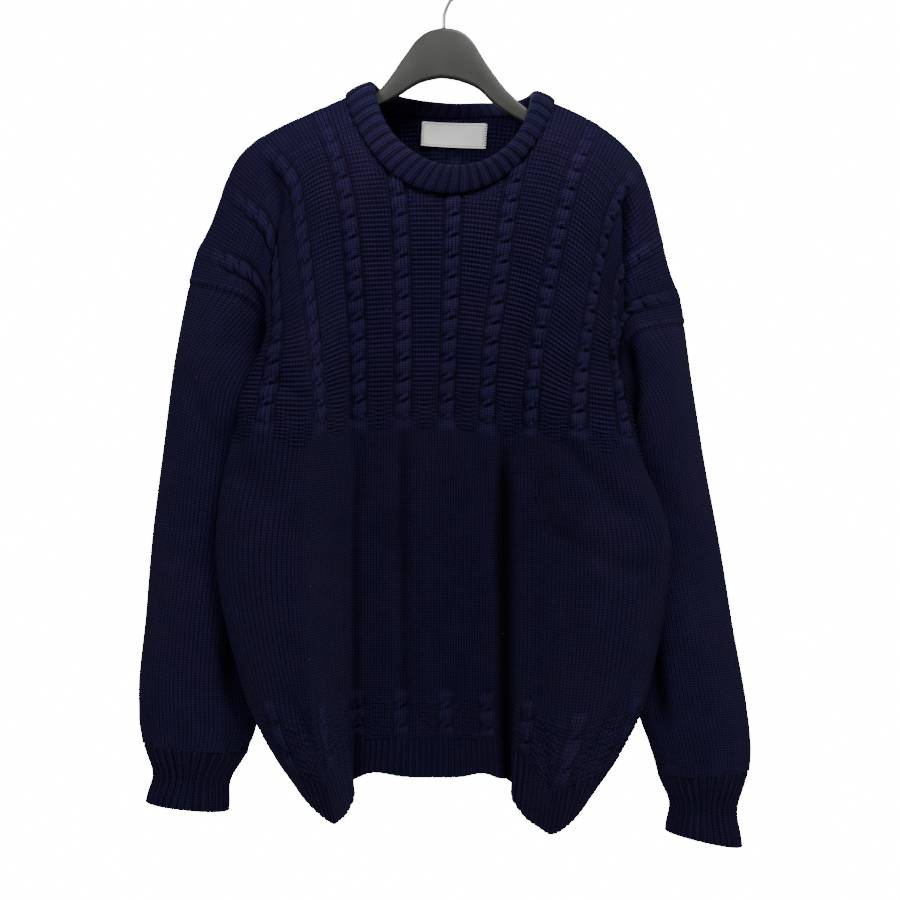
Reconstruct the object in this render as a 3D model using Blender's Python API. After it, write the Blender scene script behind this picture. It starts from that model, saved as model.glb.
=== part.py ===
"""Guernsey fisherman sweater hanging on a moulded clothes hanger.

The frame is in metres with +Z up, the front facing -Y and the origin at the top of the hook's inside,
where a rail carries it. Sizes below are in millimetres. The cloth is a form that follows the wales
(counted in cables, from -5 to 5) across a panel and the distance down from the shoulder line. Each
panel is a wall round that form, with the cables raised in its outer points over a plain inside.
"""

import math

import bmesh
import bpy
import numpy as np
from mathutils import Vector

MM = 0.001
WALL = 3.0
SEAM_GAP = 0.3
FRONT, BACK = -1, 1
LEFT, RIGHT = -1, 1

# Knitting, counted in cables across and in millimetres down from the shoulder line.
CABLES = range(-5, 6)
CABLE_HALF = 0.17
CABLE_RISE = 4.0
CABLE_TWIST = 1.2
SIDE_SEAM = 5.5
ROW_PITCH = 25.0
YOKE_FOOT = 13 * ROW_PITCH
YOKE_DOWNS = (0, 10, *(ROW_PITCH * n for n in range(1, 14)))
UNDERARM_ROW = YOKE_DOWNS.index(250)
LOWER_ROWS = (370, 420, 475, 530, 585, 640)
HEM_EDGE = 680.0
BETWEEN_CABLES = (-4.5, -3.5, -2.5, -1.6, -1.4, -0.5, 0.5, 1.32, 1.6, 2.5, 3.5, 4.5)
LAST_CABLE = 5
RIDGE_REACH = 1.0
NORMAL_CABLES, NORMAL_DOWN = 0.05, 4.0

# Stations across a panel: side seams, side folds, lobe crests, valleys beside the flat middle.
STATION = (-5.5, -4.65, -3.4, -2.15, -0.3, 1.5, 3.0, 4.5, 5.5)
NOOK = (-5.1, 5.1)
NOOK_TURN = (0.3, 0.75, 0.45)

# down | edge side crest valley middle valley crest side edge (left to right)
ACROSS = (
    (0, -256, -237, -206, -138, -12, 120, 194, 225, 238),
    (55, -193, -185, -161, -113, -10, 99, 162, 178, 184),
    (110, -171, -172, -154, -102, -9, 85, 149, 166, 168),
    (180, -162, -172, -145, -96, -9, 74, 136, 165, 159),
    (250, -158, -186, -138, -92, -10, 64, 128, 175, 155),
    (325, -158, -203, -134, -91, -12, 60, 125, 184, 155),
    (460, -162, -223, -144, -94, -13, 59, 136, 217, 158),
    (590, -160, -196, -132, -93, -13, 60, 126, 196, 160),
    (640, -148, -170, -116, -92, -13, 60, 107, 169, 150),
    (680, -128, -144, -106, -92, -13, 61, 100, 140, 128),
)
HEIGHT = (
    (0, -315, -266, -193, -152, -112, -146, -203, -312, -356),
    (55, -335, -305, -245, -209, -200, -209, -259, -335, -368),
    (110, -358, -334, -287, -258, -256, -265, -310, -361, -388),
    (180, -388, -371, -352, -322, -319, -332, -375, -394, -415),
    (250, -420, -411, -410, -391, -387, -393, -426, -435, -444),
    (325, -476, -460, -464, -459, -457, -464, -469, -480, -490),
    (460, -600, -590, -594, -588, -586, -591, -598, -592, -604),
    (590, -722, -721, -730, -724, -725, -729, -735, -721, -724),
    (640, -772, -777, -800, -773, -772, -775, -806, -781, -774),
    (680, -806, -815, -839, -812, -811, -814, -849, -821, -808),
)
# down | edge side crest valley middle, alike on both halves
DEPTH = {
    FRONT: (
        (0, 0, 0, 0, 0, 0),
        (20, -24, -15, -14, -14, -20),
        (55, -42, -36, -30, -30, -38),
        (110, -32, -50, -43, -37, -45),
        (180, -14, -62, -60, -38, -42),
        (250, 0, -62, -72, -38, -40),
        (325, 0, -57, -78, -36, -34),
        (460, 0, -50, -82, -30, -26),
        (590, 0, -46, -85, -26, -20),
        (640, 0, -44, -88, -24, -18),
        (680, 0, -40, -85, -24, -16),
    ),
    BACK: (
        (0, 0, 0, 0, 0, 0),
        (20, 24, 15, 14, 14, 44),
        (55, 42, 34, 30, 38, 48),
        (110, 32, 46, 40, 42, 46),
        (180, 14, 56, 52, 42, 42),
        (250, 0, 58, 62, 40, 40),
        (325, 0, 54, 68, 36, 36),
        (460, 0, 48, 72, 30, 30),
        (590, 0, 44, 74, 26, 26),
        (640, 0, 42, 74, 24, 24),
        (680, 0, 38, 70, 24, 22),
    ),
}

# The neckline in the flat: its middle and half width in cables, and its depth. The rim is the band's
# free edge: middle across, half width, front and back reach, side height, lean, front and back drop.
NECKLINE = {"middle": -0.14, "half": 1.55, "down": {FRONT: 94, BACK: 24}}
NECK_RIM = {"x": 7, "half": 79, "z": -123, "lean": 0.06}
RIM_REACH = {FRONT: 50, BACK: 38}
RIM_DROP = {FRONT: 90, BACK: 9}
NECK_SQUARE = 0.6
BAND_THICK = 6.0
BAND_RIB_PITCH, BAND_RIB_RISE = 12.0, 1.2
# share of the way from foot to rim | how far the band's outside stands out there
BAND_SWELL = ((0.4, 1.2), (0.85, 0.8))
BAND_TURN_IN = 0.8

# Sleeve sections: outer x and z, inner x and z, half depth. The last one is the cuff's free edge.
SLEEVE_Y = 0.0
SLEEVE = {
    LEFT: (
        (-271, -400, -164, -468, 44),
        (-282, -480, -168, -512, 42),
        (-291, -560, -175, -578, 40),
        (-300, -650, -186, -657, 37),
        (-306, -735, -196, -735, 33),
        (-303, -775, -204, -780, 28),
        (-295, -797, -215, -812, 20),
        (-301, -839, -216, -848, 22),
    ),
    RIGHT: (
        (246, -425, 161, -490, 44),
        (257, -490, 163, -528, 42),
        (270, -565, 168, -590, 40),
        (284, -650, 178, -660, 37),
        (301, -745, 190, -745, 33),
        (302, -788, 205, -795, 28),
        (289, -824, 222, -830, 20),
        (297, -883, 218, -867, 22),
    ),
}
FIRST_SPAN_STEPS = (0, 0.3, 0.65)
SLEEVE_STEPS = 2
RIB_RISE = 0.9
CUFF_RIBS_PER_SPAN = 2

# Hanger outline in the X-Z plane, round from the dome's top.
HANGER_THICK, HANGER_BEVEL = 10.0, 3.5
HANGER_UPPER_RIGHT = ((26, -79), (40, -101), (60, -128), (84, -149), (111, -162), (165, -191))
HANGER_TIP_RIGHT = ((178, -202), (180, -210), (173, -213))
HANGER_LOWER_RIGHT = ((120, -184), (68, -156), (48, -142), (32, -127), (13, -119), (-5, -116))
HANGER_LOWER_LEFT = ((-26, -121), (-46, -133), (-64, -143), (-120, -169))
HANGER_TIP_LEFT = ((-181, -205), (-188, -202), (-186, -192.8))
HANGER_UPPER_LEFT = ((-146, -175), (-107, -158), (-68, -130), (-44, -98), (-30, -79))
HANGER_DOME = ((-18, -70), (-3, -66), (13, -69))
BEVEL_FROM_ANGLE = 60
WIRE_RADIUS = 1.75
HOOK_RADIUS = 18.0 + WIRE_RADIUS
HOOK_STEM = ((-2, -65.7), (-1.5, -52), (4, -39))
HOOK_ARC = (-48, 200)
HOOK_ARC_POINTS = 15
WIRE_ROUNDNESS = 2

LABEL = {"x": 8, "half": 33, "top": 3, "deep": 25, "thick": 1.0, "clear": 1.4}
LABEL_ACROSS = (-1, -0.5, 0, 0.5, 1)
LABEL_ROWS, LABEL_NEAREST = 6, 4

SMOOTH_ANGLE = 40
COLOURS = {
    "knit": ((0.012, 0.014, 0.05), 0.9, 0.0),
    "label": ((0.75, 0.74, 0.72), 0.6, 0.0),
    "plastic": ((0.03, 0.03, 0.035), 0.45, 0.0),
    "steel": ((0.6, 0.6, 0.62), 0.25, 1.0),
}


def smooth(knots, values, at):
    """Monotone cubic through values (rows) at the knots, which never overshoots them."""
    knots, values, at = np.asarray(knots, float), np.asarray(values, float), np.atleast_1d(at).astype(float)
    step = np.diff(knots).reshape((-1,) + (1,) * (values.ndim - 1))
    slope = np.diff(values, axis=0) / step
    level = slope[:-1] * slope[1:] <= 0
    inner = np.where(level, 0, 2 * slope[:-1] * slope[1:] / np.where(level, 1, slope[:-1] + slope[1:]))
    tangent = np.concatenate([slope[:1], inner, slope[-1:]])
    i = np.clip(np.searchsorted(knots, at, side="right") - 1, 0, len(knots) - 2)
    t = ((at - knots[i]) / np.diff(knots)[i]).reshape((-1,) + (1,) * (values.ndim - 1))
    h = step[i]
    start, end = values[i], values[i + 1]
    return (
        start * (1 + 2 * t) * (1 - t) ** 2
        + end * t**2 * (3 - 2 * t)
        + h * tangent[i] * t * (1 - t) ** 2
        - h * tangent[i + 1] * t**2 * (1 - t)
    )


def unit(v):
    """Vectors scaled to length one."""
    return v / np.maximum(np.linalg.norm(v, axis=-1, keepdims=True), 1e-9)


def stations(side, down):
    """The points of the stations across the panel, nooks included, for each distance down."""
    across, height, depth = (np.array(table, float) for table in (ACROSS, HEIGHT, DEPTH[side]))
    depth = np.concatenate([depth, depth[:, -2:0:-1]], axis=1)
    at = np.stack([smooth(t[:, 0], t[:, 1:], down) for t in (across, depth, height)], axis=-1)
    turn = np.array(NOOK_TURN)
    nooks = [at[:, e] + turn * (at[:, s] - at[:, e]) for e, s in ((0, 1), (-1, -2))]
    return np.concatenate([at[:, :1], nooks[0][:, None], at[:, 1:-1], nooks[1][:, None], at[:, -1:]], axis=1)


def panel_point(side, cable, down):
    """The panel's form at a wale, counted in cables, and a distance down the shoulder line."""
    knots = (STATION[0], NOOK[0], *STATION[1:-1], NOOK[1], STATION[-1])
    return smooth(knots, stations(side, down)[0], cable)[0]


def neck_rim(turn):
    """A point of the neckband's rim. turn runs from the right (0) over the front to the left (pi)."""
    side = FRONT if math.sin(turn) >= 0 else BACK
    reach = abs(math.sin(turn))
    x = NECK_RIM["half"] * math.cos(turn)
    y = side * RIM_REACH[side] * reach**NECK_SQUARE
    return np.array([NECK_RIM["x"] + x, y, NECK_RIM["z"] - NECK_RIM["lean"] * x - RIM_DROP[side] * reach])


def neck_turn(side, cable):
    """The turn at which a wale meets the neckline, or None beside the neck."""
    reach = (cable - NECKLINE["middle"]) / NECKLINE["half"]
    if abs(reach) > 1 + 1e-6:
        return None
    turn = math.acos(max(-1, min(1, reach)))
    return turn if side == FRONT else -turn


def columns():
    """Wales across the panel: three on each cable, one or two between, and the neck's two ends."""
    ends = [NECKLINE["middle"] + s * NECKLINE["half"] for s in (-1, 1)]
    on_cables = [c + s * CABLE_HALF for c in CABLES for s in (-1, 0, 1)]
    return sorted([-SIDE_SEAM, SIDE_SEAM, *on_cables, *BETWEEN_CABLES, *ends])


def panel_grid(side):
    """The panel's form as an array of points: rows down, columns across."""
    wales = columns()
    grid = np.zeros((len(YOKE_DOWNS) + len(LOWER_ROWS), len(wales), 3))
    outward = np.zeros_like(grid)
    for j, cable in enumerate(wales):
        turn = neck_turn(side, cable)
        top = NECKLINE["down"][side] * abs(math.sin(turn)) if turn is not None else 0
        downs = [top + (YOKE_FOOT - top) * down / YOKE_FOOT for down in YOKE_DOWNS]
        for i, down in enumerate([*downs, *LOWER_ROWS]):
            grid[i, j] = panel_point(side, cable, down)
            outward[i, j] = form_normal(side, cable, down)
    grid[..., 1] += side * SEAM_GAP / 2
    return wales, grid, outward


def form_normal(side, cable, down):
    """The unit normal of a panel's form, facing out of the garment."""
    near, far = max(-SIDE_SEAM, cable - NORMAL_CABLES), min(SIDE_SEAM, cable + NORMAL_CABLES)
    across = panel_point(side, far, down) - panel_point(side, near, down)
    above, below = max(0, down - NORMAL_DOWN), down + NORMAL_DOWN
    fall = panel_point(side, cable, below) - panel_point(side, cable, above)
    return unit(np.cross(fall, across)) * -side


def relief(wales, rows):
    """How far each point stands out: cables over the yoke, level at the seams."""
    rise = np.zeros((rows, len(wales)))
    for j, cable in enumerate(wales):
        on_middle = abs(cable - round(cable)) < CABLE_HALF / 2
        if not on_middle or abs(cable) > LAST_CABLE + CABLE_HALF:
            continue
        for i in range(1, len(YOKE_DOWNS)):
            rise[i, j] = CABLE_RISE + CABLE_TWIST * (-1) ** (i + round(cable))
        rise[0, j] = 0.5 * CABLE_RISE
    return rise


def material(colour):
    """The named plain material."""
    finish = bpy.data.materials.get(colour) or bpy.data.materials.new(colour)
    rgb, rough, metal = COLOURS[colour]
    finish.use_nodes = True
    shader = finish.node_tree.nodes["Principled BSDF"]
    shader.inputs["Base Color"].default_value = (*rgb, 1)
    shader.inputs["Roughness"].default_value = rough
    shader.inputs["Metallic"].default_value = metal
    return finish


def finish_mesh(name, bm, colour):
    """Turns a bmesh into a named object in a material."""
    bmesh.ops.recalc_face_normals(bm, faces=bm.faces)
    mesh = bpy.data.meshes.new(name)
    bm.to_mesh(mesh)
    bm.free()
    mesh.shade_smooth()
    mesh.set_sharp_from_angle(angle=math.radians(SMOOTH_ANGLE))
    thing = bpy.data.objects.new(name, mesh)
    bpy.context.scene.collection.objects.link(thing)
    mesh.materials.append(material(colour))
    return thing


def wall(name, outer, inner, colour, closed=False):
    """A wall between two grids of points. closed joins the last column to the first."""
    bm = bmesh.new()
    rows, cols = outer.shape[:2]
    a, b = ([[bm.verts.new(p * MM) for p in row] for row in grid] for grid in (outer, inner))
    spans = range(cols if closed else cols - 1)
    for i in range(rows - 1):
        for j in spans:
            k = (j + 1) % cols
            for skin in (a, b):
                bm.faces.new((skin[i][j], skin[i][k], skin[i + 1][k], skin[i + 1][j]))
    for i in (0, rows - 1):
        for j in spans:
            k = (j + 1) % cols
            bm.faces.new((a[i][j], a[i][k], b[i][k], b[i][j]))
    if not closed:
        for j in (0, cols - 1):
            for i in range(rows - 1):
                bm.faces.new((a[i][j], a[i + 1][j], b[i + 1][j], b[i][j]))
    return finish_mesh(name, bm, colour)


def sleeve_grid(hand, armhole):
    """Sections from the armhole to the cuff's top, each with the armhole's number of points."""
    count = len(armhole)
    rings = [armhole]
    for ox, oz, ix, iz, half in np.array(SLEEVE[hand], float):
        out, into = np.array([ox, SLEEVE_Y, oz]), np.array([ix, SLEEVE_Y, iz])
        centre, arm = (out + into) / 2, (out - into) / 2
        turns = [2 * math.pi * n / count for n in range(count)]
        rings.append([centre + arm * math.cos(t) + np.array([0, -half * math.sin(t), 0]) for t in turns])
    rings = np.array(rings)
    strides = np.linalg.norm(np.diff(rings.mean(axis=1), axis=0), axis=1)
    travel = np.concatenate([[0], np.cumsum(strides)])
    steps = [travel[1] * share for share in FIRST_SPAN_STEPS]
    for a, b in zip(travel[1:-2], travel[2:-1]):
        steps += [a + (b - a) * n / SLEEVE_STEPS for n in range(SLEEVE_STEPS)]
    return smooth(travel, rings, [*steps, travel[-2]]), rings[-1]


def ring_normals(grid):
    """Unit normals of a tube of rings, facing out."""
    down = np.gradient(grid, axis=0)
    across = np.roll(grid, -1, axis=1) - np.roll(grid, 1, axis=1)
    out = unit(np.cross(down, across))
    away = grid - grid.mean(axis=1, keepdims=True)
    return out * np.sign(np.mean(np.sum(out * away, axis=-1)))


def spread(points, parts, closed):
    """Points along the straight spans between the given ones, so that edges stay face to face."""
    ends = np.roll(points, -1, axis=0) if closed else points[1:]
    starts = points if closed else points[:-1]
    fine = [a + (b - a) * n / parts for a, b in zip(starts, ends) for n in range(parts)]
    return np.array(fine if closed else [*fine, points[-1]])


def ribbed(name, top, top_in, edge, edge_in, parts, closed):
    """A ribbed strip below an edge: every second wale stands out."""
    top, top_in, edge, edge_in = (spread(p, parts, closed) for p in (top, top_in, edge, edge_in))
    down, out = unit(edge - top), unit(top - top_in)
    ribs = np.where(np.arange(len(top)) % 2 == 0, RIB_RISE, -RIB_RISE)[:, None]
    top, top_in = top + down * SEAM_GAP, top_in + down * SEAM_GAP
    if not closed:
        ribs[[0, -1]] = 0
    outer = np.stack([top, (top + edge) / 2 + out * ribs, edge + out * ribs])
    inner = np.stack([top_in, (top_in + edge_in) / 2, edge_in])
    return wall(name, outer, inner, "knit", closed)


def build_cloth():
    """Builds the panels, hems, sleeves and cuffs. Returns the wales, and each panel's form and normals."""
    grids, outward = {}, {}
    for side in (FRONT, BACK):
        wales, grids[side], outward[side] = panel_grid(side)
        on_ridge = np.abs(grids[side][0, :, 1]) < RIDGE_REACH
        outward[side][0, on_ridge, 1] = 0
        outward[side][UNDERARM_ROW:, [0, -1], 1] = 0
        outward[side] = unit(outward[side])
    for hand, column in ((LEFT, 0), (RIGHT, -1)):
        front, back = (grids[s][: UNDERARM_ROW + 1, column] for s in (FRONT, BACK))
        armhole = np.concatenate([front, back[-2:0:-1]])
        armhole[0, 1] = 0
        armhole[UNDERARM_ROW] = (front[-1] + back[-1]) / 2
        tube, cuff_edge = sleeve_grid(hand, armhole)
        out = ring_normals(tube)
        f_out, b_out = (outward[s][: UNDERARM_ROW + 1, column] for s in (FRONT, BACK))
        seam = unit(out[0] + np.concatenate([f_out, b_out[-2:0:-1]]))
        seam[[0, UNDERARM_ROW], 1] = 0
        seam = unit(seam)
        out[0] = seam
        outward[FRONT][: UNDERARM_ROW + 1, column] = seam[: UNDERARM_ROW + 1]
        outward[BACK][: UNDERARM_ROW + 1, column] = np.concatenate([seam[:1], seam[:UNDERARM_ROW - 1:-1]])
        inner = tube - out * WALL
        for grid in (tube, inner):
            grid[0] += unit(grid[1] - grid[0]) * SEAM_GAP
        name = "left" if hand == LEFT else "right"
        wall(f"sleeve_{name}", tube, inner, "knit", closed=True)
        cuff_in = cuff_edge - unit(cuff_edge - cuff_edge.mean(axis=0)) * WALL
        ribbed(f"cuff_{name}", tube[-1], inner[-1], cuff_edge, cuff_in, CUFF_RIBS_PER_SPAN, closed=True)
    for side, name in ((FRONT, "front"), (BACK, "back")):
        grid, out = grids[side], outward[side]
        inner = grid - out * WALL
        wall(name, grid + out * relief(wales, len(grid))[..., None], inner, "knit")
        edge = np.array([panel_point(side, w, HEM_EDGE) for w in wales])
        edge[:, 1] += side * SEAM_GAP / 2
        ribbed(f"hem_{name}", grid[-1], inner[-1], edge, edge - out[-1] * WALL, 1, closed=False)
    return wales, grids, outward


def neckline_edge(wales, grids, outward):
    """The neckline's edge in order of turn: each point, the way the panel faces there, and its turn."""
    edge = []
    for side, order in ((FRONT, reversed(range(len(wales)))), (BACK, range(len(wales)))):
        for j in order:
            turn = neck_turn(side, wales[j])
            if turn is not None:
                edge.append((grids[side][0, j], outward[side][0, j], turn % (2 * math.pi)))
    return edge


def band_sections(edge):
    """Feet at about half a rib's pitch: each foot, its facing, its turn, and whether its rib is raised."""
    sections = []
    for (foot, face, start), (next_foot, next_face, end) in zip(edge, edge[1:] + edge[:1]):
        if end < start:
            end += 2 * math.pi
        span = np.linalg.norm(next_foot - foot)
        parts = max(1, round(span / (BAND_RIB_PITCH / 2)))
        for part in range(parts):
            share = part / parts
            raised = span > RIDGE_REACH and len(sections) % 2 == 1
            here, facing = foot + (next_foot - foot) * share, face + (next_face - face) * share
            sections.append((here, facing, start + (end - start) * share, raised))
    return sections


def build_neckband(wales, grids, outward):
    """A doubled rib band that stands on the neckline's edge and leans in to its rim."""
    rows = []
    for foot, face, turn, raised in band_sections(neckline_edge(wales, grids, outward)):
        rim = neck_rim(turn)
        up = unit(rim - foot)
        out = unit(face - up * float(face @ up))
        rib = BAND_RIB_RISE if raised else -BAND_RIB_RISE
        foot = foot + up * 2 * SEAM_GAP
        rise = rim - foot
        outside = [foot + rise * share + out * (swell + rib) for share, swell in BAND_SWELL]
        rim_middle = rim - out * BAND_THICK / 2
        inside = foot + rise * BAND_TURN_IN - out * BAND_THICK
        rows.append([foot, *outside, rim_middle, inside, foot - face * WALL])
    bm = bmesh.new()
    loops = [[bm.verts.new(p * MM) for p in row] for row in rows]
    for a, b in zip(loops, loops[1:] + loops[:1]):
        for i in range(len(a)):
            k = (i + 1) % len(a)
            bm.faces.new((a[i], a[k], b[k], b[i]))
    finish_mesh("neckband", bm, "knit")


def build_label(grids):
    """A small woven label that lies just inside the back neck."""
    face = grids[BACK][0]
    top = np.interp(LABEL["x"], face[:, 0], face[:, 2]) - LABEL["top"]
    bm = bmesh.new()
    skins = []
    for depth in (0, LABEL["thick"]):
        for z in (top, top - LABEL["deep"]):
            row = []
            for share in LABEL_ACROSS:
                x = LABEL["x"] + share * LABEL["half"]
                y = back_inside(grids, x, z) - LABEL["clear"] - depth
                row.append(bm.verts.new(Vector((x, y, z)) * MM))
            skins.append(row)
    rear_top, rear_foot, near_top, near_foot = skins
    ring = (rear_top, near_top, near_foot, rear_foot)
    for a, b in zip(ring, ring[1:] + ring[:1]):
        for i in range(len(LABEL_ACROSS) - 1):
            bm.faces.new((a[i], a[i + 1], b[i + 1], b[i]))
    for i in (0, -1):
        bm.faces.new([row[i] for row in ring])
    finish_mesh("neck_label", bm, "label")


def back_inside(grids, x, z):
    """How far back the inside of the back panel lies at a place across and up."""
    points = grids[BACK][:LABEL_ROWS].reshape(-1, 3)
    near = np.argsort((points[:, 0] - x) ** 2 + (points[:, 2] - z) ** 2)[:LABEL_NEAREST]
    return float(points[near, 1].min()) - WALL


def build_hanger():
    """The moulded hanger: its outline with rounded edges."""
    outline = [
        *HANGER_UPPER_RIGHT,
        *HANGER_TIP_RIGHT,
        *HANGER_LOWER_RIGHT,
        *HANGER_LOWER_LEFT,
        *HANGER_TIP_LEFT,
        *HANGER_UPPER_LEFT,
        *HANGER_DOME,
    ]
    bm = bmesh.new()
    rim = [bm.verts.new(Vector((x, -HANGER_THICK / 2, z)) * MM) for x, z in outline]
    pushed = bmesh.ops.extrude_face_region(bm, geom=[bm.faces.new(rim)])["geom"]
    rear = [g for g in pushed if isinstance(g, bmesh.types.BMVert)]
    bmesh.ops.translate(bm, verts=rear, vec=(0, HANGER_THICK * MM, 0))
    body = finish_mesh("hanger_body", bm, "plastic")
    soften = body.modifiers.new("edge", "BEVEL")
    soften.width, soften.segments = HANGER_BEVEL * MM, 2
    soften.angle_limit = math.radians(BEVEL_FROM_ANGLE)


def build_hook():
    """The bent wire hook: a stem and an arc whose inside passes through the origin."""
    arc = [math.radians(a) for a in np.linspace(*HOOK_ARC, HOOK_ARC_POINTS)]
    ring = [(HOOK_RADIUS * math.cos(a), HOOK_RADIUS * (math.sin(a) - 1) + WIRE_RADIUS) for a in arc]
    route = [*HOOK_STEM, *ring]
    wire = bpy.data.curves.new("hook_wire", "CURVE")
    wire.dimensions = "3D"
    wire.bevel_depth, wire.bevel_resolution = WIRE_RADIUS * MM, WIRE_ROUNDNESS
    wire.use_fill_caps = True
    line = wire.splines.new("POLY")
    line.points.add(len(route) - 1)
    for point, (x, z) in zip(line.points, route):
        point.co = (x * MM, 0, z * MM, 1)
    hook = bpy.data.objects.new("hanger_hook", wire)
    bpy.context.scene.collection.objects.link(hook)
    wire.materials.append(material("steel"))


def main():
    """Builds every piece in an empty scene."""
    for thing in list(bpy.data.objects):
        bpy.data.objects.remove(thing, do_unlink=True)
    wales, grids, outward = build_cloth()
    build_neckband(wales, grids, outward)
    build_label(grids)
    build_hanger()
    build_hook()


main()
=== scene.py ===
"""Looks of a navy guernsey sweater on a moulded clothes hanger.

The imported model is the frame: metres, +Z up, the front facing -Y and the origin at the top of the hook's
inside. Every knitted piece is a fine thin shell on the form of its solid, with cables, ribs, ridges and
creases in its points, and a procedural finish. The tables are in millimetres, as in the part's source.
"""

from __future__ import annotations

import logging
import math
from dataclasses import dataclass, field
from enum import Enum, IntEnum

import bpy
import numpy as np
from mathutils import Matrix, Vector

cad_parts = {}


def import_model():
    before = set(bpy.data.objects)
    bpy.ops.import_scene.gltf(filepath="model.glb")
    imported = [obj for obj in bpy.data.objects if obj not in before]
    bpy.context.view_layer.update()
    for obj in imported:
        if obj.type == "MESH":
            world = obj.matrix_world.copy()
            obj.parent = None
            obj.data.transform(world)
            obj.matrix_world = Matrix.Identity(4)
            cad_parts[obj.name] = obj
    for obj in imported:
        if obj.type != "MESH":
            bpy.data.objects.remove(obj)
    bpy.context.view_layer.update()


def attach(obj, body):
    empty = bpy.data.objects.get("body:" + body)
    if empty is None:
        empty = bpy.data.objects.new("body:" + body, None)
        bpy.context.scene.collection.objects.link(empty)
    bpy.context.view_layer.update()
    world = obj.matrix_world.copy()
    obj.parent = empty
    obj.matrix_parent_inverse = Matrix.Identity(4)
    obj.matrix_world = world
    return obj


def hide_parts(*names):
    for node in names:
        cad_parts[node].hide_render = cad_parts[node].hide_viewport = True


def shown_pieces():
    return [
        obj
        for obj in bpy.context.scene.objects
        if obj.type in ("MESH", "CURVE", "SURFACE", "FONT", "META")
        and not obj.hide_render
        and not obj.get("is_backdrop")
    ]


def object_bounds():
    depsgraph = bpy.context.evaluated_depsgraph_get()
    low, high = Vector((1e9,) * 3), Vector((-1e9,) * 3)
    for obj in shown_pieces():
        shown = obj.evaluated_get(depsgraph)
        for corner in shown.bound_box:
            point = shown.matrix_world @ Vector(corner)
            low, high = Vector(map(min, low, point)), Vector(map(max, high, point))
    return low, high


LOG = logging.getLogger("guernsey")
Reals = np.ndarray | float
MM = 0.001
ROOT = "root"
# number of the outermost cable on each side of the middle one
LAST_CABLE = 5
# how round the ribs are: a smaller power makes broader tops and sharper valleys
RIB_ROUND = 0.8
# the height, in mm, that takes the relief map from 0 to 1; the wool's finish paints shade and highlight from
# that map
RELIEF_SPAN = 8.0
# share of the bake map left free along its edges
UV_MARGIN = 0.01


class Side(IntEnum):
    """The garment's front or back, as the sign of Y."""

    FRONT = -1
    BACK = 1


class Hand(IntEnum):
    """The viewer's left or right, as the sign of X."""

    LEFT = -1
    RIGHT = 1


class Slot(str, Enum):
    """The record's material slots."""

    KNIT = "knit"
    LABEL = "label"
    PLASTIC = "plastic"
    STEEL = "steel"


def smooth(knots: np.ndarray, values: np.ndarray, at: Reals) -> np.ndarray:
    """Runs a monotone cubic through rows of values, so that it never overshoots them.

    Args:
        knots: Rising positions of the rows.
        values: One row of values for each knot.
        at: Positions wanted.

    Returns:
        One row for each position.
    """
    knots, values = np.asarray(knots, float), np.asarray(values, float)
    at = np.atleast_1d(np.asarray(at, float))
    span = np.diff(knots)
    shape = (-1,) + (1,) * (values.ndim - 1)
    tangent = tangents(np.diff(values, axis=0) / span.reshape(shape))
    i = span_at(knots, at)
    t = ((at - knots[i]) / span[i]).reshape(shape)
    return hermite(values[i], values[i + 1], tangent[i], tangent[i + 1], span[i].reshape(shape), t)


def tangents(slope: np.ndarray) -> np.ndarray:
    """Slopes at the knots that never overshoot, from the slopes of the spans between them.

    Args:
        slope: The spans' slopes, one row for each.

    Returns:
        One row for each knot.
    """
    a, b = slope[:-1], slope[1:]
    level = a * b <= 0
    inner = np.where(level, 0, 2 * a * b / np.where(level, 1, a + b))
    return np.concatenate([slope[:1], inner, slope[-1:]])


def span_at(knots: np.ndarray, at: np.ndarray) -> np.ndarray:
    """The number of the span between knots that holds each position."""
    return np.clip(np.searchsorted(knots, at, side="right") - 1, 0, len(knots) - 2)


def hermite(start: Reals, end: Reals, leave: Reals, arrive: Reals, span: Reals, t: Reals) -> Reals:
    """The cubic from start to end with the slopes leave and arrive, at t from 0 to 1.

    Args:
        start: Value at the start.
        end: Value at the end.
        leave: Slope at the start.
        arrive: Slope at the end.
        span: Length of the span.
        t: Place along it, from 0 to 1.

    Returns:
        The value there.
    """
    return (
        start * (1 + 2 * t) * (1 - t) ** 2
        + end * t**2 * (3 - 2 * t)
        + span * leave * t * (1 - t) ** 2
        - span * arrive * t**2 * (1 - t)
    )


def unit(v: np.ndarray) -> np.ndarray:
    """Vectors scaled to length one."""
    return v / np.maximum(np.linalg.norm(v, axis=-1, keepdims=True), 1e-9)


def step(low: float, high: float, x: Reals) -> np.ndarray:
    """0 below low, 1 above high, with a soft run between."""
    t = np.clip((np.asarray(x, float) - low) / (high - low), 0, 1)
    return t * t * (3 - 2 * t)


def bump(x: Reals, width: float) -> np.ndarray:
    """A soft hill of height one at x = 0."""
    return np.exp(-((np.asarray(x, float) / width) ** 2))


def at_least(share: float, x: Reals) -> Reals:
    """A share where x is 0, and one where it is 1."""
    return share + (1 - share) * x


def nearest_cable(cable: Reals) -> Reals:
    """The number of the cable nearest each wale."""
    return np.clip(np.round(cable), -LAST_CABLE, LAST_CABLE)


def travelled(points: np.ndarray) -> np.ndarray:
    """The distance run at each point of a line."""
    return np.concatenate([[0], np.cumsum(np.linalg.norm(np.diff(points, axis=0), axis=1))])


def ribbing(turns: Reals, rise: float, floor: float) -> Reals:
    """Heights over ribs, one to a turn, with round tops and sharp valleys at a share of the rise below."""
    return rise * (np.abs(np.cos(math.pi * turns)) ** RIB_ROUND - floor)


def fold_shade(swell: np.ndarray) -> np.ndarray:
    """Painted shade in a fold: how much lower the relief map takes the cloth to be there, so that the finish
    darkens its colour.
    """
    return 0.25 * np.minimum(0, swell + 1)


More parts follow.
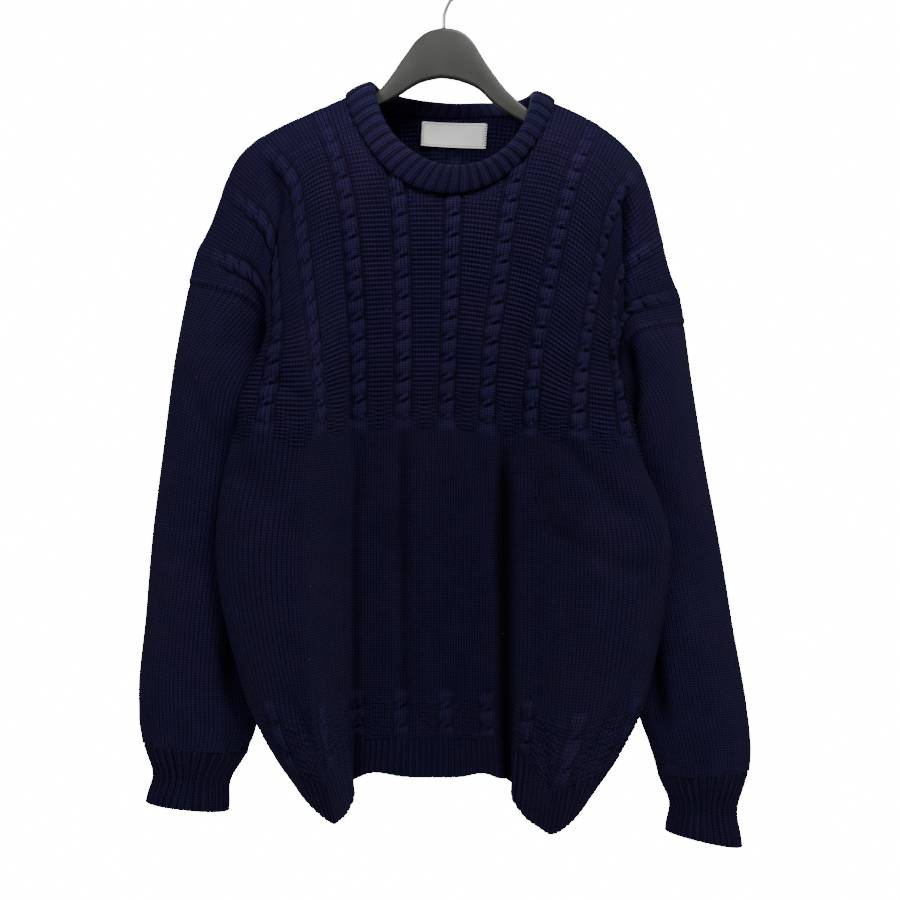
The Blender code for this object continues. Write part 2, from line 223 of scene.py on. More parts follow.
def turned_edge(outer: np.ndarray, inner: np.ndarray, bends: tuple, wall: float) -> tuple[np.ndarray, ...]:
    """The rows of a strip: down its outside, round its free edge and up its inside.

    Args:
        outer: Distances down of the outside's rows, which end at the edge.
        inner: Distances down of the inside's rows, which start at the edge.
        bends: Degrees at which rows go round the edge.
        wall: Thickness of the strip.

    Returns:
        Of each row: distance down, distance out, reach past the edge, distance along the knitting, and the
        share of the ribs' height.
    """
    roll, radius, edge = np.radians(bends), wall / 2, outer[-1]
    down = np.concatenate([outer, np.full(len(roll), edge), inner])
    out = np.concatenate([np.zeros(len(outer)), radius * (np.cos(roll) - 1), np.full(len(inner), -wall)])
    past = np.concatenate([np.zeros(len(outer)), radius * np.sin(roll), np.zeros(len(inner))])
    along = np.concatenate([outer, edge + radius * roll, edge + radius * math.pi + edge - inner])
    return down, out, past, along, np.where(out > -radius, 1.0, 0.4)


def placed(name: str, mesh: bpy.types.Mesh) -> bpy.types.Object:
    """An object of a mesh, shaded smooth and linked to the scene.

    Args:
        name: The object's name.
        mesh: Its mesh.

    Returns:
        The new object.
    """
    mesh.shade_smooth()
    thing = bpy.data.objects.new(name, mesh)
    bpy.context.scene.collection.objects.link(thing)
    return thing


def capped_tube(name: str, rings: list) -> bpy.types.Object:
    """A closed body through rings of points, in mm, with a face at each end.

    Args:
        name: The piece's name.
        rings: Rings of as many points each, in order.

    Returns:
        The new object, linked to the scene.
    """
    n = len(rings[0])
    faces = [
        (r * n + k, r * n + (k + 1) % n, (r + 1) * n + (k + 1) % n, (r + 1) * n + k)
        for r in range(len(rings) - 1)
        for k in range(n)
    ]
    last = (len(rings) - 1) * n
    faces += [tuple(range(n))[::-1], tuple(last + k for k in range(n))]
    mesh = bpy.data.meshes.new(name)
    mesh.from_pydata([tuple(v * MM for v in point) for ring in rings for point in ring], [], faces)
    return placed(name, mesh)


# down | x or z at each station, from the left side seam to the right one
ACROSS = (
    (0, -256, -237, -206, -138, -12, 120, 194, 225, 238),
    (55, -193, -185, -161, -113, -10, 99, 162, 178, 184),
    (110, -171, -172, -154, -102, -9, 85, 149, 166, 168),
    (180, -162, -172, -145, -96, -9, 74, 136, 165, 159),
    (250, -158, -186, -138, -92, -10, 64, 128, 175, 155),
    (325, -158, -203, -134, -91, -12, 60, 125, 184, 155),
    (460, -162, -223, -144, -94, -13, 59, 136, 217, 158),
    (590, -160, -196, -132, -93, -13, 60, 126, 196, 160),
    (640, -148, -170, -116, -92, -13, 60, 107, 169, 150),
    (680, -128, -144, -106, -92, -13, 61, 100, 140, 128),
)
HEIGHT = (
    (0, -315, -266, -193, -152, -112, -146, -203, -312, -356),
    (55, -335, -305, -245, -209, -200, -209, -259, -335, -368),
    (110, -358, -334, -287, -258, -256, -265, -310, -361, -388),
    (180, -388, -371, -352, -322, -319, -332, -375, -394, -415),
    (250, -420, -411, -410, -391, -387, -393, -426, -435, -444),
    (325, -476, -460, -464, -459, -457, -464, -469, -480, -490),
    (460, -600, -590, -594, -588, -586, -591, -598, -592, -604),
    (590, -722, -721, -730, -724, -725, -729, -735, -721, -724),
    (640, -772, -777, -800, -773, -772, -775, -806, -781, -774),
    (680, -806, -815, -839, -812, -811, -814, -849, -821, -808),
)
# down | edge side crest valley middle, alike on both halves
DEPTH = {
    Side.FRONT: (
        (0, 0, 0, 0, 0, 0),
        (20, -24, -15, -14, -14, -20),
        (55, -42, -36, -30, -30, -38),
        (110, -32, -50, -43, -37, -45),
        (180, -14, -62, -60, -38, -42),
        (250, 0, -62, -72, -38, -40),
        (325, 0, -57, -78, -36, -34),
        (460, 0, -50, -82, -30, -26),
        (590, 0, -46, -85, -26, -20),
        (640, 0, -44, -88, -24, -18),
        (680, 0, -40, -85, -24, -16),
    ),
    Side.BACK: (
        (0, 0, 0, 0, 0, 0),
        (20, 24, 15, 14, 14, 44),
        (55, 42, 34, 30, 38, 48),
        (110, 32, 46, 40, 42, 46),
        (180, 14, 56, 52, 42, 42),
        (250, 0, 58, 62, 40, 40),
        (325, 0, 54, 68, 36, 36),
        (460, 0, 48, 72, 30, 30),
        (590, 0, 44, 74, 26, 26),
        (640, 0, 42, 74, 24, 24),
        (680, 0, 38, 70, 24, 22),
    ),
}


@dataclass(frozen=True)
class Form:
    """The garment's surface over the wales, counted in cables from -5 to 5, and down from the shoulder.

    Attributes:
        station: Wales of the tables' columns.
        nook: Wales of the turned-in points by the side seams.
        nook_turn: How far a nook is from the edge to the side, in x, y and z.
        side_seam: Wale of the side seams.
        yoke_foot: How far down the cables end, in mm.
        hem_top: How far down the hem starts, in mm.
        hem_edge: How far down the hem ends, in mm.
        gap: Gap at the seams, in mm.
        near: Wales and mm on each side of a point that its normal is taken from.
    """

    station: tuple[float, ...] = (-5.5, -4.65, -3.4, -2.15, -0.3, 1.5, 3.0, 4.5, 5.5)
    nook: tuple[float, float] = (-5.1, 5.1)
    nook_turn: tuple[float, float, float] = (0.3, 0.75, 0.45)
    side_seam: float = 5.5
    yoke_foot: float = 325.0
    hem_top: float = 640.0
    hem_edge: float = 680.0
    gap: float = 0.3
    near: tuple[float, float] = (0.05, 4.0)

    def stations(self, side: Side, down: np.ndarray) -> np.ndarray:
        """The points of the stations, nooks included, for each distance down.

        Args:
            side: Front or back.
            down: Distances down, in mm.

        Returns:
            Points by distance, station and x, y and z.
        """
        across, height, depth = (np.array(t, float) for t in (ACROSS, HEIGHT, DEPTH[side]))
        depth = np.concatenate([depth, depth[:, -2:0:-1]], axis=1)
        at = np.stack([smooth(t[:, 0], t[:, 1:], down) for t in (across, depth, height)], axis=-1)
        turn = np.array(self.nook_turn)
        left = at[:, 0] + turn * (at[:, 1] - at[:, 0])
        right = at[:, -1] + turn * (at[:, -2] - at[:, -1])
        return np.concatenate([at[:, :1], left[:, None], at[:, 1:-1], right[:, None], at[:, -1:]], axis=1)

    def point(self, side: Side, cable: Reals, down: Reals) -> np.ndarray:
        """Points of the form, in mm.

        Args:
            side: Front or back.
            cable: Wales, counted in cables.
            down: Distances down, of the same shape.

        Returns:
            Points, with their three numbers on a new last axis.
        """
        cable, down = np.broadcast_arrays(np.asarray(cable, float), np.asarray(down, float))
        flat, at = cable.ravel(), self.stations(side, down.ravel())
        knots = np.array((self.station[0], self.nook[0], *self.station[1:-1], self.nook[1], self.station[-1]))
        span = np.diff(knots)
        slope = np.diff(at, axis=1) / span[None, :, None]
        tangent = np.swapaxes(tangents(np.swapaxes(slope, 0, 1)), 0, 1)
        i = span_at(knots, flat)
        n = np.arange(len(flat))
        t = ((flat - knots[i]) / span[i])[:, None]
        made = hermite(at[n, i], at[n, i + 1], tangent[n, i], tangent[n, i + 1], span[i][:, None], t)
        made[:, 1] += side * self.gap / 2
        return made.reshape(*cable.shape, 3)

    def normal(self, side: Side, cable: Reals, down: Reals) -> np.ndarray:
        """Unit normals of the form, facing out of the garment.

        Args:
            side: Front or back.
            cable: Wales, counted in cables.
            down: Distances down, in mm.

        Returns:
            Normals, with x, y and z on a new last axis.
        """
        cable, down = np.broadcast_arrays(np.asarray(cable, float), np.asarray(down, float))
        aside, along = self.near
        left, right = np.maximum(-self.side_seam, cable - aside), np.minimum(self.side_seam, cable + aside)
        across = self.point(side, right, down) - self.point(side, left, down)
        fall = self.point(side, cable, down + along) - self.point(side, cable, np.maximum(0, down - along))
        return unit(np.cross(fall, across)) * -int(side)


@dataclass(frozen=True)
class Crease:
    """A soft fold that runs straight over a shell's own coordinates.

    Attributes:
        start: Wale and distance down where it starts.
        end: Wale and distance down where it ends.
        width: Half width, in mm.
        rise: Height, in mm, below zero for a valley.
        wale: Length of one unit across, in mm.
        fade: How far from its ends it is at its full height, in mm.
    """

    start: tuple[float, float]
    end: tuple[float, float]
    width: float
    rise: float
    wale: float = 45.0
    fade: float = 25.0

    def lift(self, across: np.ndarray, down: np.ndarray) -> np.ndarray:
        """How far each place stands out, in mm.

        Args:
            across: Wales or radians across.
            down: Distances down, in mm.

        Returns:
            Heights, in mm.
        """
        a = np.array((self.start[0] * self.wale, self.start[1]))
        b = np.array((self.end[0] * self.wale, self.end[1]))
        run = b - a
        length = float(np.hypot(*run))
        px, py = across * self.wale - a[0], down - a[1]
        along = (px * run[0] + py * run[1]) / length
        off = (px * run[1] - py * run[0]) / length
        fade = min(self.fade, length / 2)
        ends = step(0, fade, along) * step(0, fade, length - along)
        return self.rise * bump(off, self.width) * ends


@dataclass(frozen=True)
class Stitchwork:
    """The knitted pattern of a panel, as heights over its form, in mm.

    Attributes:
        cable_half: Half width of a cable where there is room for it.
        cable_room: The most of a cable's spacing that its half width takes.
        body_rise: Height of a cable between its crossings.
        body_round: How square a cable's section is, 2 for a round one.
        roll: Height and share of the slant of the strands' roll between crossings.
        waist: Share of its width that a cable loses at a crossing, and that waist's half length.
        link: Distance between crossings.
        first: How far down the first crossing is.
        slant: How steeply a crossing rises to the right.
        strand: Height and half width of the strand that crosses in front.
        slash: Depth and half width of the dark slash below the strand.
        under: How far below the strand the slash is.
        over: Share of the slash's depth above the strand.
        deepens: Where across a cable the slash below the strand starts and ends to deepen, to the right.
        shallow: Share of its depth that the slash keeps at its shallow end, below and above the strand.
        gutter: Depth and half width of the purl gutter beside a cable.
        gutter_at: Middle of the gutter.
        ridge_pitch: Distance between the ground's ridges.
        ridge_rise: Height of the ridges, and of the ground they stand on.
        ground_half: Half width of the ground between cables, in cables.
        arch: How far the ground's last ridges bend.
        foot: How far down the cables end.
        ground_past: How far past the cables' foot the ridges go, at the middle and more at the sides.
        knuckle: Height and half size of the knot at a cable's foot, and how far past the foot it is.
        hem_cables: How far down the short cables over the hem start and end.
        hem_share: How much of a yoke cable's height they have.
        hem_gutter: How much of a yoke gutter's depth they have.
        seam: Wales between which the pattern fades by the side seams.
        ridge_fade: Distances down between which the ridges reach their height, and their share at the top.
        top_fade: Distance down at which the whole pattern reaches its height, and its share at the top.
    """

    cable_half: float = 7.2
    cable_room: float = 0.165
    body_rise: float = 2.5
    body_round: float = 2.4
    roll: tuple[float, float] = (0.7, 0.4)
    waist: tuple[float, float] = (0.33, 4.4)
    link: float = 20.0
    first: float = 105.0
    slant: float = 0.6
    strand: tuple[float, float] = (1.9, 2.1)
    slash: tuple[float, float] = (3.6, 1.35)
    under: float = 3.6
    over: float = 0.6
    deepens: tuple[float, float] = (-3.5, 2.0)
    shallow: tuple[float, float] = (0.25, 0.1)
    gutter: tuple[float, float] = (1.5, 1.25)
    gutter_at: float = 8.7
    ridge_pitch: float = 4.7
    ridge_rise: tuple[float, float] = (0.85, 0.3)
    ground_half: float = 0.27
    arch: float = 9.0
    foot: float = 325.0
    ground_past: tuple[float, float] = (13.0, 15.0)
    knuckle: tuple[float, float, float] = (2.3, 6.5, 8.0)
    hem_cables: tuple[float, float] = (592.0, 636.0)
    hem_share: float = 0.75
    hem_gutter: float = 0.4
    seam: tuple[float, float] = (5.36, 5.47)
    ridge_fade: tuple[float, float, float] = (3.0, 30.0, 0.15)
    top_fade: tuple[float, float] = (42.0, 0.14)

    def cable(self, x: np.ndarray, down: np.ndarray) -> np.ndarray:
        """A cable whose front strand rises to the right at each crossing.

        Args:
            x: Distances from the cable's middle, in mm.
            down: Distances down along it.

        Returns:
            Heights, in mm.
        """
        place = np.mod(down - self.first + self.link / 2, self.link) - self.link / 2
        off = place + self.slant * x
        half = self.cable_half * (1 - self.waist[0] * bump(off, self.waist[1]))
        s = np.clip(np.abs(x) / half, 0, 1)
        roll, roll_slant = self.roll
        rolled = roll * np.cos(2 * math.pi * (place + self.slant * x * roll_slant) / self.link + math.pi)
        body = self.body_rise * np.sqrt(1 - s**self.body_round) + rolled
        start, end = self.deepens
        right, left = step(start, end, x), step(-end, -start, -x)
        rise, strand_half = self.strand
        depth, slash_half = self.slash
        keep_below, keep_above = self.shallow
        strand = rise * bump(off, strand_half)
        below = -depth * bump(off - self.under, slash_half) * at_least(keep_below, right)
        above = -self.over * depth * bump(off + self.under, slash_half) * at_least(keep_above, left)
        return body + (strand + below + above) * np.sqrt(1 - s**6)

    def ground(self, cable: np.ndarray, down: np.ndarray, ground_row: np.ndarray) -> np.ndarray:
        """The ridges between cables, which arch at their last rows, and the hem's between short cables.

        Args:
            cable: Wales, counted in cables.
            down: Distances down, in mm.
            ground_row: Distances down, counted along the ground's middle.

        Returns:
            Heights, in mm.
        """
        curve = np.clip(np.abs(cable - (np.floor(cable) + 0.5)) / self.ground_half, 0, 1) ** 2
        past, more = self.ground_past
        last = self.foot + past + more * step(2.0, 3.6, np.abs(cable)) - self.arch * curve
        bend = self.arch * curve * step(last - 45, last, down)
        hem_start = self.hem_cables[0] + 5 + 4 * curve
        shown = np.maximum(1 - step(last - 3, last, down), step(hem_start - 2, hem_start + 1, down))
        rise, floor = self.ridge_rise
        top, full, share = self.ridge_fade
        ridges = rise * np.cos(2 * math.pi * (ground_row + bend) / self.ridge_pitch) + floor
        return ridges * shown * at_least(share, step(top, full, down))

    def lift(
        self,
        cable: np.ndarray,
        down: np.ndarray,
        ground_row: np.ndarray,
        cable_row: np.ndarray,
        pitch: np.ndarray,
    ) -> np.ndarray:
        """How far each place of a panel stands out of its form.

        Args:
            cable: Wales, counted in cables.
            down: Distances down.
            ground_row: Distances down, counted along the middle of the ground there.
            cable_row: Distances down, counted along the nearest cable.
            pitch: The spacing of the cables at each place.

        Returns:
            Heights, in mm.
        """
        off = cable - nearest_cable(cable)
        x = off * pitch * self.cable_half / np.minimum(self.cable_half, self.cable_room * pitch)
        beside = step(self.gutter_at + 0.8, self.gutter_at + 2.0, np.abs(x))
        ground = beside * self.ground(cable, down, ground_row)
        hem_top, hem_end = self.hem_cables
        in_yoke = 1 - step(self.foot - 4, self.foot + 2, down)
        in_hem = step(hem_top - 3, hem_top + 3, down) * (1 - step(hem_end - 3, hem_end + 3, down))
        on_cable = 1 - step(self.cable_half * 0.95, self.cable_half * 1.08, np.abs(x))
        cables = self.cable(x, cable_row) * on_cable * (in_yoke + self.hem_share * in_hem)
        depth, half = self.gutter
        gutter = -depth * bump(np.abs(x) - self.gutter_at, half) * (in_yoke + self.hem_gutter * in_hem)
        rise, size, past = self.knuckle
        knuckle = rise * bump(x, size) * bump(down - self.foot - past, size)
        edge = 1 - step(*self.seam, np.abs(cable))
        full, share = self.top_fade
        return (cables + gutter + ground + knuckle) * edge * at_least(share, step(0, full, down))


@dataclass
class Shell:
    """A grid of points, rows down and columns across, that becomes one thin cloth mesh.

    Attributes:
        points: Rows by columns by three, in mm.
        across: Knitting coordinate across each column, in mm. A closed shell has one more than its columns.
        down: Knitting coordinate of each point or row down the shell, in mm.
        closed: Whether the last column joins the first.
        flip: Whether to turn the faces over.
        relief: Height of each point over the plain cloth, in mm, that the finish turns into painted shade and
            painted highlight.
    """

    points: np.ndarray
    across: np.ndarray
    down: np.ndarray
    closed: bool = False
    flip: bool = False
    relief: np.ndarray | float = 0.0

    def wrapped(self, values: np.ndarray) -> np.ndarray:
        """Values with the first column again after the last, on a closed shell."""
        return np.concatenate([values, values[:, :1]], axis=1) if self.closed else values

    def faces(self) -> tuple[np.ndarray, np.ndarray, np.ndarray]:
        """Corner indices of each quad, with the row and column of each corner.

        Returns:
            Indices, rows and columns, with one row for each quad.
        """
        rows, cols = self.points.shape[:2]
        spans = cols if self.closed else cols - 1
        i, j = (a.ravel() for a in np.meshgrid(np.arange(rows - 1), np.arange(spans), indexing="ij"))
        corner_rows = np.stack([i, i, i + 1, i + 1], axis=1)
        corner_cols = np.stack([j, j + 1, j + 1, j], axis=1)
        if self.flip:
            corner_rows, corner_cols = corner_rows[:, ::-1], corner_cols[:, ::-1]
        return corner_rows * cols + corner_cols % cols, corner_rows, corner_cols

    def build(self, name: str) -> bpy.types.Object:
        """Makes the mesh object with its knitting coordinates.

        Args:
            name: The piece's name.

        Returns:
            The new object, linked to the scene.
        """
        rows, cols = self.points.shape[:2]
        faces, corner_rows, corner_cols = self.faces()
        mesh = bpy.data.meshes.new(name)
        mesh.from_pydata((self.points.reshape(-1, 3) * MM).tolist(), [], faces.tolist())
        across = np.asarray(self.across, float)
        down = self.wrapped(np.broadcast_to(self.down, (rows, cols)))
        knit = np.stack([across[corner_cols], down[corner_rows, corner_cols]], axis=-1) * MM
        whole = np.stack([corner_cols / cols, corner_rows / rows], axis=-1) * (1 - 2 * UV_MARGIN) + UV_MARGIN
        lift = self.wrapped(np.broadcast_to(self.relief, (rows, cols)))
        # painted shade and highlight: the relief map, by which the wool's colour is darkened in hollows and
        # folds and lightened on raised knitting
        open_to_light = np.clip(0.5 + lift[corner_rows, corner_cols] / RELIEF_SPAN, 0, 1)
        shade = np.stack([open_to_light, np.zeros_like(open_to_light)], axis=-1)
        for title, uv in (("OFBake", whole), ("Knit", knit), ("Relief", shade)):
            layer = mesh.uv_layers.new(name=title)
            layer.data.foreach_set("uv", uv.reshape(-1).astype(np.float32))
        return placed(name, mesh)


@dataclass
class Neckline:
    """The edge cut out of the panels, and the neckband's rim over it.

    Turns run from the right over the front.

    Attributes:
        middle: Wale of the neckline's middle.
        half: Half its width, in cables.
        down: How far down each side's panel starts at the middle, in mm.
        rim_x: X of the rim's middle, in mm.
        rim_half: Half the rim's width.
        rim_reach: How far the rim reaches forward and back.
        rim_z: Height of the rim at its ends.
        rim_lean: How much the rim falls to the right, for each mm across.
        rim_drop: How far each side's rim sags below its ends.
        square: How square the rim is seen from above, 1 for an ellipse.
    """

    middle: float = -0.12
    half: float = 1.41
    down: dict = field(default_factory=lambda: {Side.FRONT: 90.0, Side.BACK: 19.5})
    rim_x: float = 7.0
    rim_half: float = 79.0
    rim_reach: dict = field(default_factory=lambda: {Side.FRONT: 50.0, Side.BACK: 38.0})
    rim_z: float = -123.0
    rim_lean: float = 0.06
    rim_drop: dict = field(default_factory=lambda: {Side.FRONT: 90.0, Side.BACK: 9.0})
    square: float = 0.6

    def top(self, side: Side, cable: np.ndarray) -> np.ndarray:
        """How far down the panel starts at each wale."""
        reach = np.clip((cable - self.middle) / self.half, -1, 1)
        return self.down[side] * np.sqrt(1 - reach**2)

    def rim(self, turn: np.ndarray) -> np.ndarray:
        """Points of the rim, in mm.

        Args:
            turn: Turns round the neck, in radians.

        Returns:
            Points, one to a row.
        """
        front = np.sin(turn) >= 0
        reach = np.abs(np.sin(turn))
        x = self.rim_half * np.cos(turn)
        y = np.where(front, -self.rim_reach[Side.FRONT], self.rim_reach[Side.BACK]) * reach**self.square
        drop = np.where(front, self.rim_drop[Side.FRONT], self.rim_drop[Side.BACK])
        return np.stack([self.rim_x + x, y, self.rim_z - self.rim_lean * x - drop * reach], axis=-1)


@dataclass
class Garment:
    """What the cloth pieces share.

    Attributes:
        form: The garment's surface.
        work: The knitted pattern.
        neck: The neckline.
        creases: Folds placed on each side.
        lie: Waves of the cloth's uneven lie.
        ridge: How far from the shoulder's ridge the heights turn upright, in mm.
        underarm: How far down the side seams' edges meet, and lift no more towards the viewer.
    """

    form: Form = field(default_factory=Form)
    work: Stitchwork = field(default_factory=Stitchwork)
    neck: Neckline = field(default_factory=Neckline)
    creases: dict = field(
        default_factory=lambda: {
            Side.FRONT: (
                Crease((1.40, 318), (1.44, 800), 7.5, -15.0, fade=90),
                Crease((1.80, 325), (1.80, 800), 8, 3.5, fade=90),
                Crease((-2.05, 325), (-2.05, 800), 6, -5.5, fade=90),
                Crease((-2.42, 325), (-2.40, 800), 7, 3.0, fade=90),
                Crease((-1.00, 300), (-0.90, 660), 8, -6.0, fade=80),
                Crease((-0.60, 340), (-0.62, 620), 11, 2.4),
                Crease((0.55, 345), (0.45, 600), 13, 1.8),
                Crease((-3.00, 8), (-3.75, 78), 7, -5.5),
                Crease((-3.55, 60), (-4.85, 128), 7, -8.0),
                Crease((2.90, 22), (5.20, 75), 6, -14.0, fade=26),
                Crease((4.20, 110), (4.60, 230), 6.5, -9.0, fade=35),
                Crease((-4.4, 240), (-3.2, 300), 10, -3.0),
                Crease((-4.8, 300), (-3.7, 420), 12, -3.0),
                Crease((-4.2, 380), (-3.3, 560), 14, 2.6),
                Crease((4.6, 230), (3.6, 300), 10, -3.0),
                Crease((2.6, 330), (4.0, 430), 9, -3.4),
                Crease((2.0, 420), (4.2, 480), 9, -2.6),
                Crease((4.8, 360), (3.9, 470), 12, 2.4),
                Crease((4.3, 420), (3.5, 600), 14, 2.6),
                Crease((-3.9, 560), (-2.9, 660), 7, -3.2),
                Crease((-3.2, 590), (-2.5, 665), 6, -2.6),
                Crease((4.0, 550), (3.1, 660), 7, -3.2),
                Crease((2.2, 600), (3.0, 665), 6, -2.6),
            ),
            Side.BACK: (
                Crease((-0.9, 350), (-0.7, 610), 10, -1.6),
                Crease((0.5, 350), (0.7, 600), 15, 1.4),
                Crease((-4.5, 240), (-3.2, 310), 9, -2.0),
                Crease((-4.7, 310), (-3.7, 430), 12, -1.8),
                Crease((4.6, 240), (3.5, 310), 9, -2.0),
                Crease((4.7, 330), (3.8, 440), 12, -1.8),
                Crease((-4.0, 440), (-3.2, 620), 14, 1.6),
                Crease((4.1, 440), (3.3, 620), 14, 1.6),
            ),
        }
    )

    # height | turn for each cable | mm down for each radian | turn between the sides
    lie: tuple = ((0.5, 2.3, 47.0, 2.0), (0.35, 5.1, -23.0, 1.0))
    ridge: float = 12.0
    underarm: float = 240.0

    def pitch(self, side: Side, cable: np.ndarray, down: np.ndarray) -> np.ndarray:
        """The spacing of the cables, in mm, at the cable nearest each place.

        Args:
            side: Front or back.
            cable: Wales, counted in cables.
            down: Distances down, in mm.

        Returns:
            Spacings, in mm.
        """
        nearest, reach = nearest_cable(cable), 0.15
        knots = np.linspace(0, self.form.hem_top, 33)
        made = np.zeros(cable.shape)
        for k in range(-LAST_CABLE, LAST_CABLE + 1):
            apart = self.form.point(side, k + reach, knots) - self.form.point(side, k - reach, knots)
            here = nearest == k
            made[here] = np.interp(down[here], knots, np.linalg.norm(apart, axis=1) / (2 * reach))
        return made

    def rows(self, side: Side, cable: np.ndarray, down: np.ndarray) -> np.ndarray:
        """Distances down along each wale from the yoke's foot, so that rows are as high as knitted.

        Args:
            side: Front or back.
            cable: Wales, counted in cables.
            down: Distances down, in mm.

        Returns:
            Distances that are the form's own at the foot.
        """
        seam, foot = self.form.side_seam, self.form.yoke_foot
        per_cable, knots_down = 10, 65
        columns = round(2 * seam * per_cable)
        wide, deep = np.meshgrid(np.linspace(-seam, seam, columns + 1), np.linspace(0, foot, knots_down + 1))
        stride = np.linalg.norm(np.diff(self.form.point(side, wide, deep), axis=0), axis=-1)
        left = np.concatenate([np.cumsum(stride[::-1], axis=0)[::-1], np.zeros((1, columns + 1))])
        i = np.clip((cable + seam) * per_cable, 0, columns - 0.001)
        j = np.clip(down / foot * knots_down, 0, knots_down - 0.001)
        ci, cj = i.astype(int), j.astype(int)
        u, v = i - ci, j - cj
        near = left[cj, ci] * (1 - u) + left[cj, ci + 1] * u
        far = left[cj + 1, ci] * (1 - u) + left[cj + 1, ci + 1] * u
        return np.where(down < foot, foot - near * (1 - v) - far * v, down)

    def swell(self, side: Side, cable: np.ndarray, down: np.ndarray) -> np.ndarray:
        """Creases and the uneven lie of heavy cloth, in mm, faded by the shoulder, hem and side seams.

        Args:
            side: Front or back.
            cable: Wales, counted in cables.
            down: Distances down, in mm.

        Returns:
            Heights, in mm.
        """
        lift = sum(crease.lift(cable, down) for crease in self.creases[side])
        lie = sum(rise * np.sin(cable * a + down / b + c * side) for rise, a, b, c in self.lie)
        by_hem = step(self.form.hem_top - 40, self.form.hem_top, down)
        by_seam = step(4.6, 5.3, np.abs(cable))
        return lift + lie * step(0, 60, down) * (1 - by_hem) * (1 - by_seam)

    def surface(self, side: Side, cable: np.ndarray, down: np.ndarray, lift: Reals) -> np.ndarray:
        """Points at a height over the form, in mm. At the shoulder's ridge they rise straight up.

        Args:
            side: Front or back.
            cable: Wales, counted in cables.
            down: Distances down, in mm.
            lift: Heights over the form, in mm.

        Returns:
            Points, with x, y and z on a new last axis.
        """
        base = self.form.point(side, cable, down)
        normal = self.form.normal(side, cable, down)
        normal[..., 1] *= np.where(np.abs(base[..., 1]) < self.ridge, step(0, self.ridge, down), 1)
        seam = (np.abs(cable) > self.form.side_seam - 0.01) & (down > self.underarm)
        normal[..., 1] = np.where(seam, 0, normal[..., 1])
        return base + unit(normal) * np.asarray(lift)[..., None]


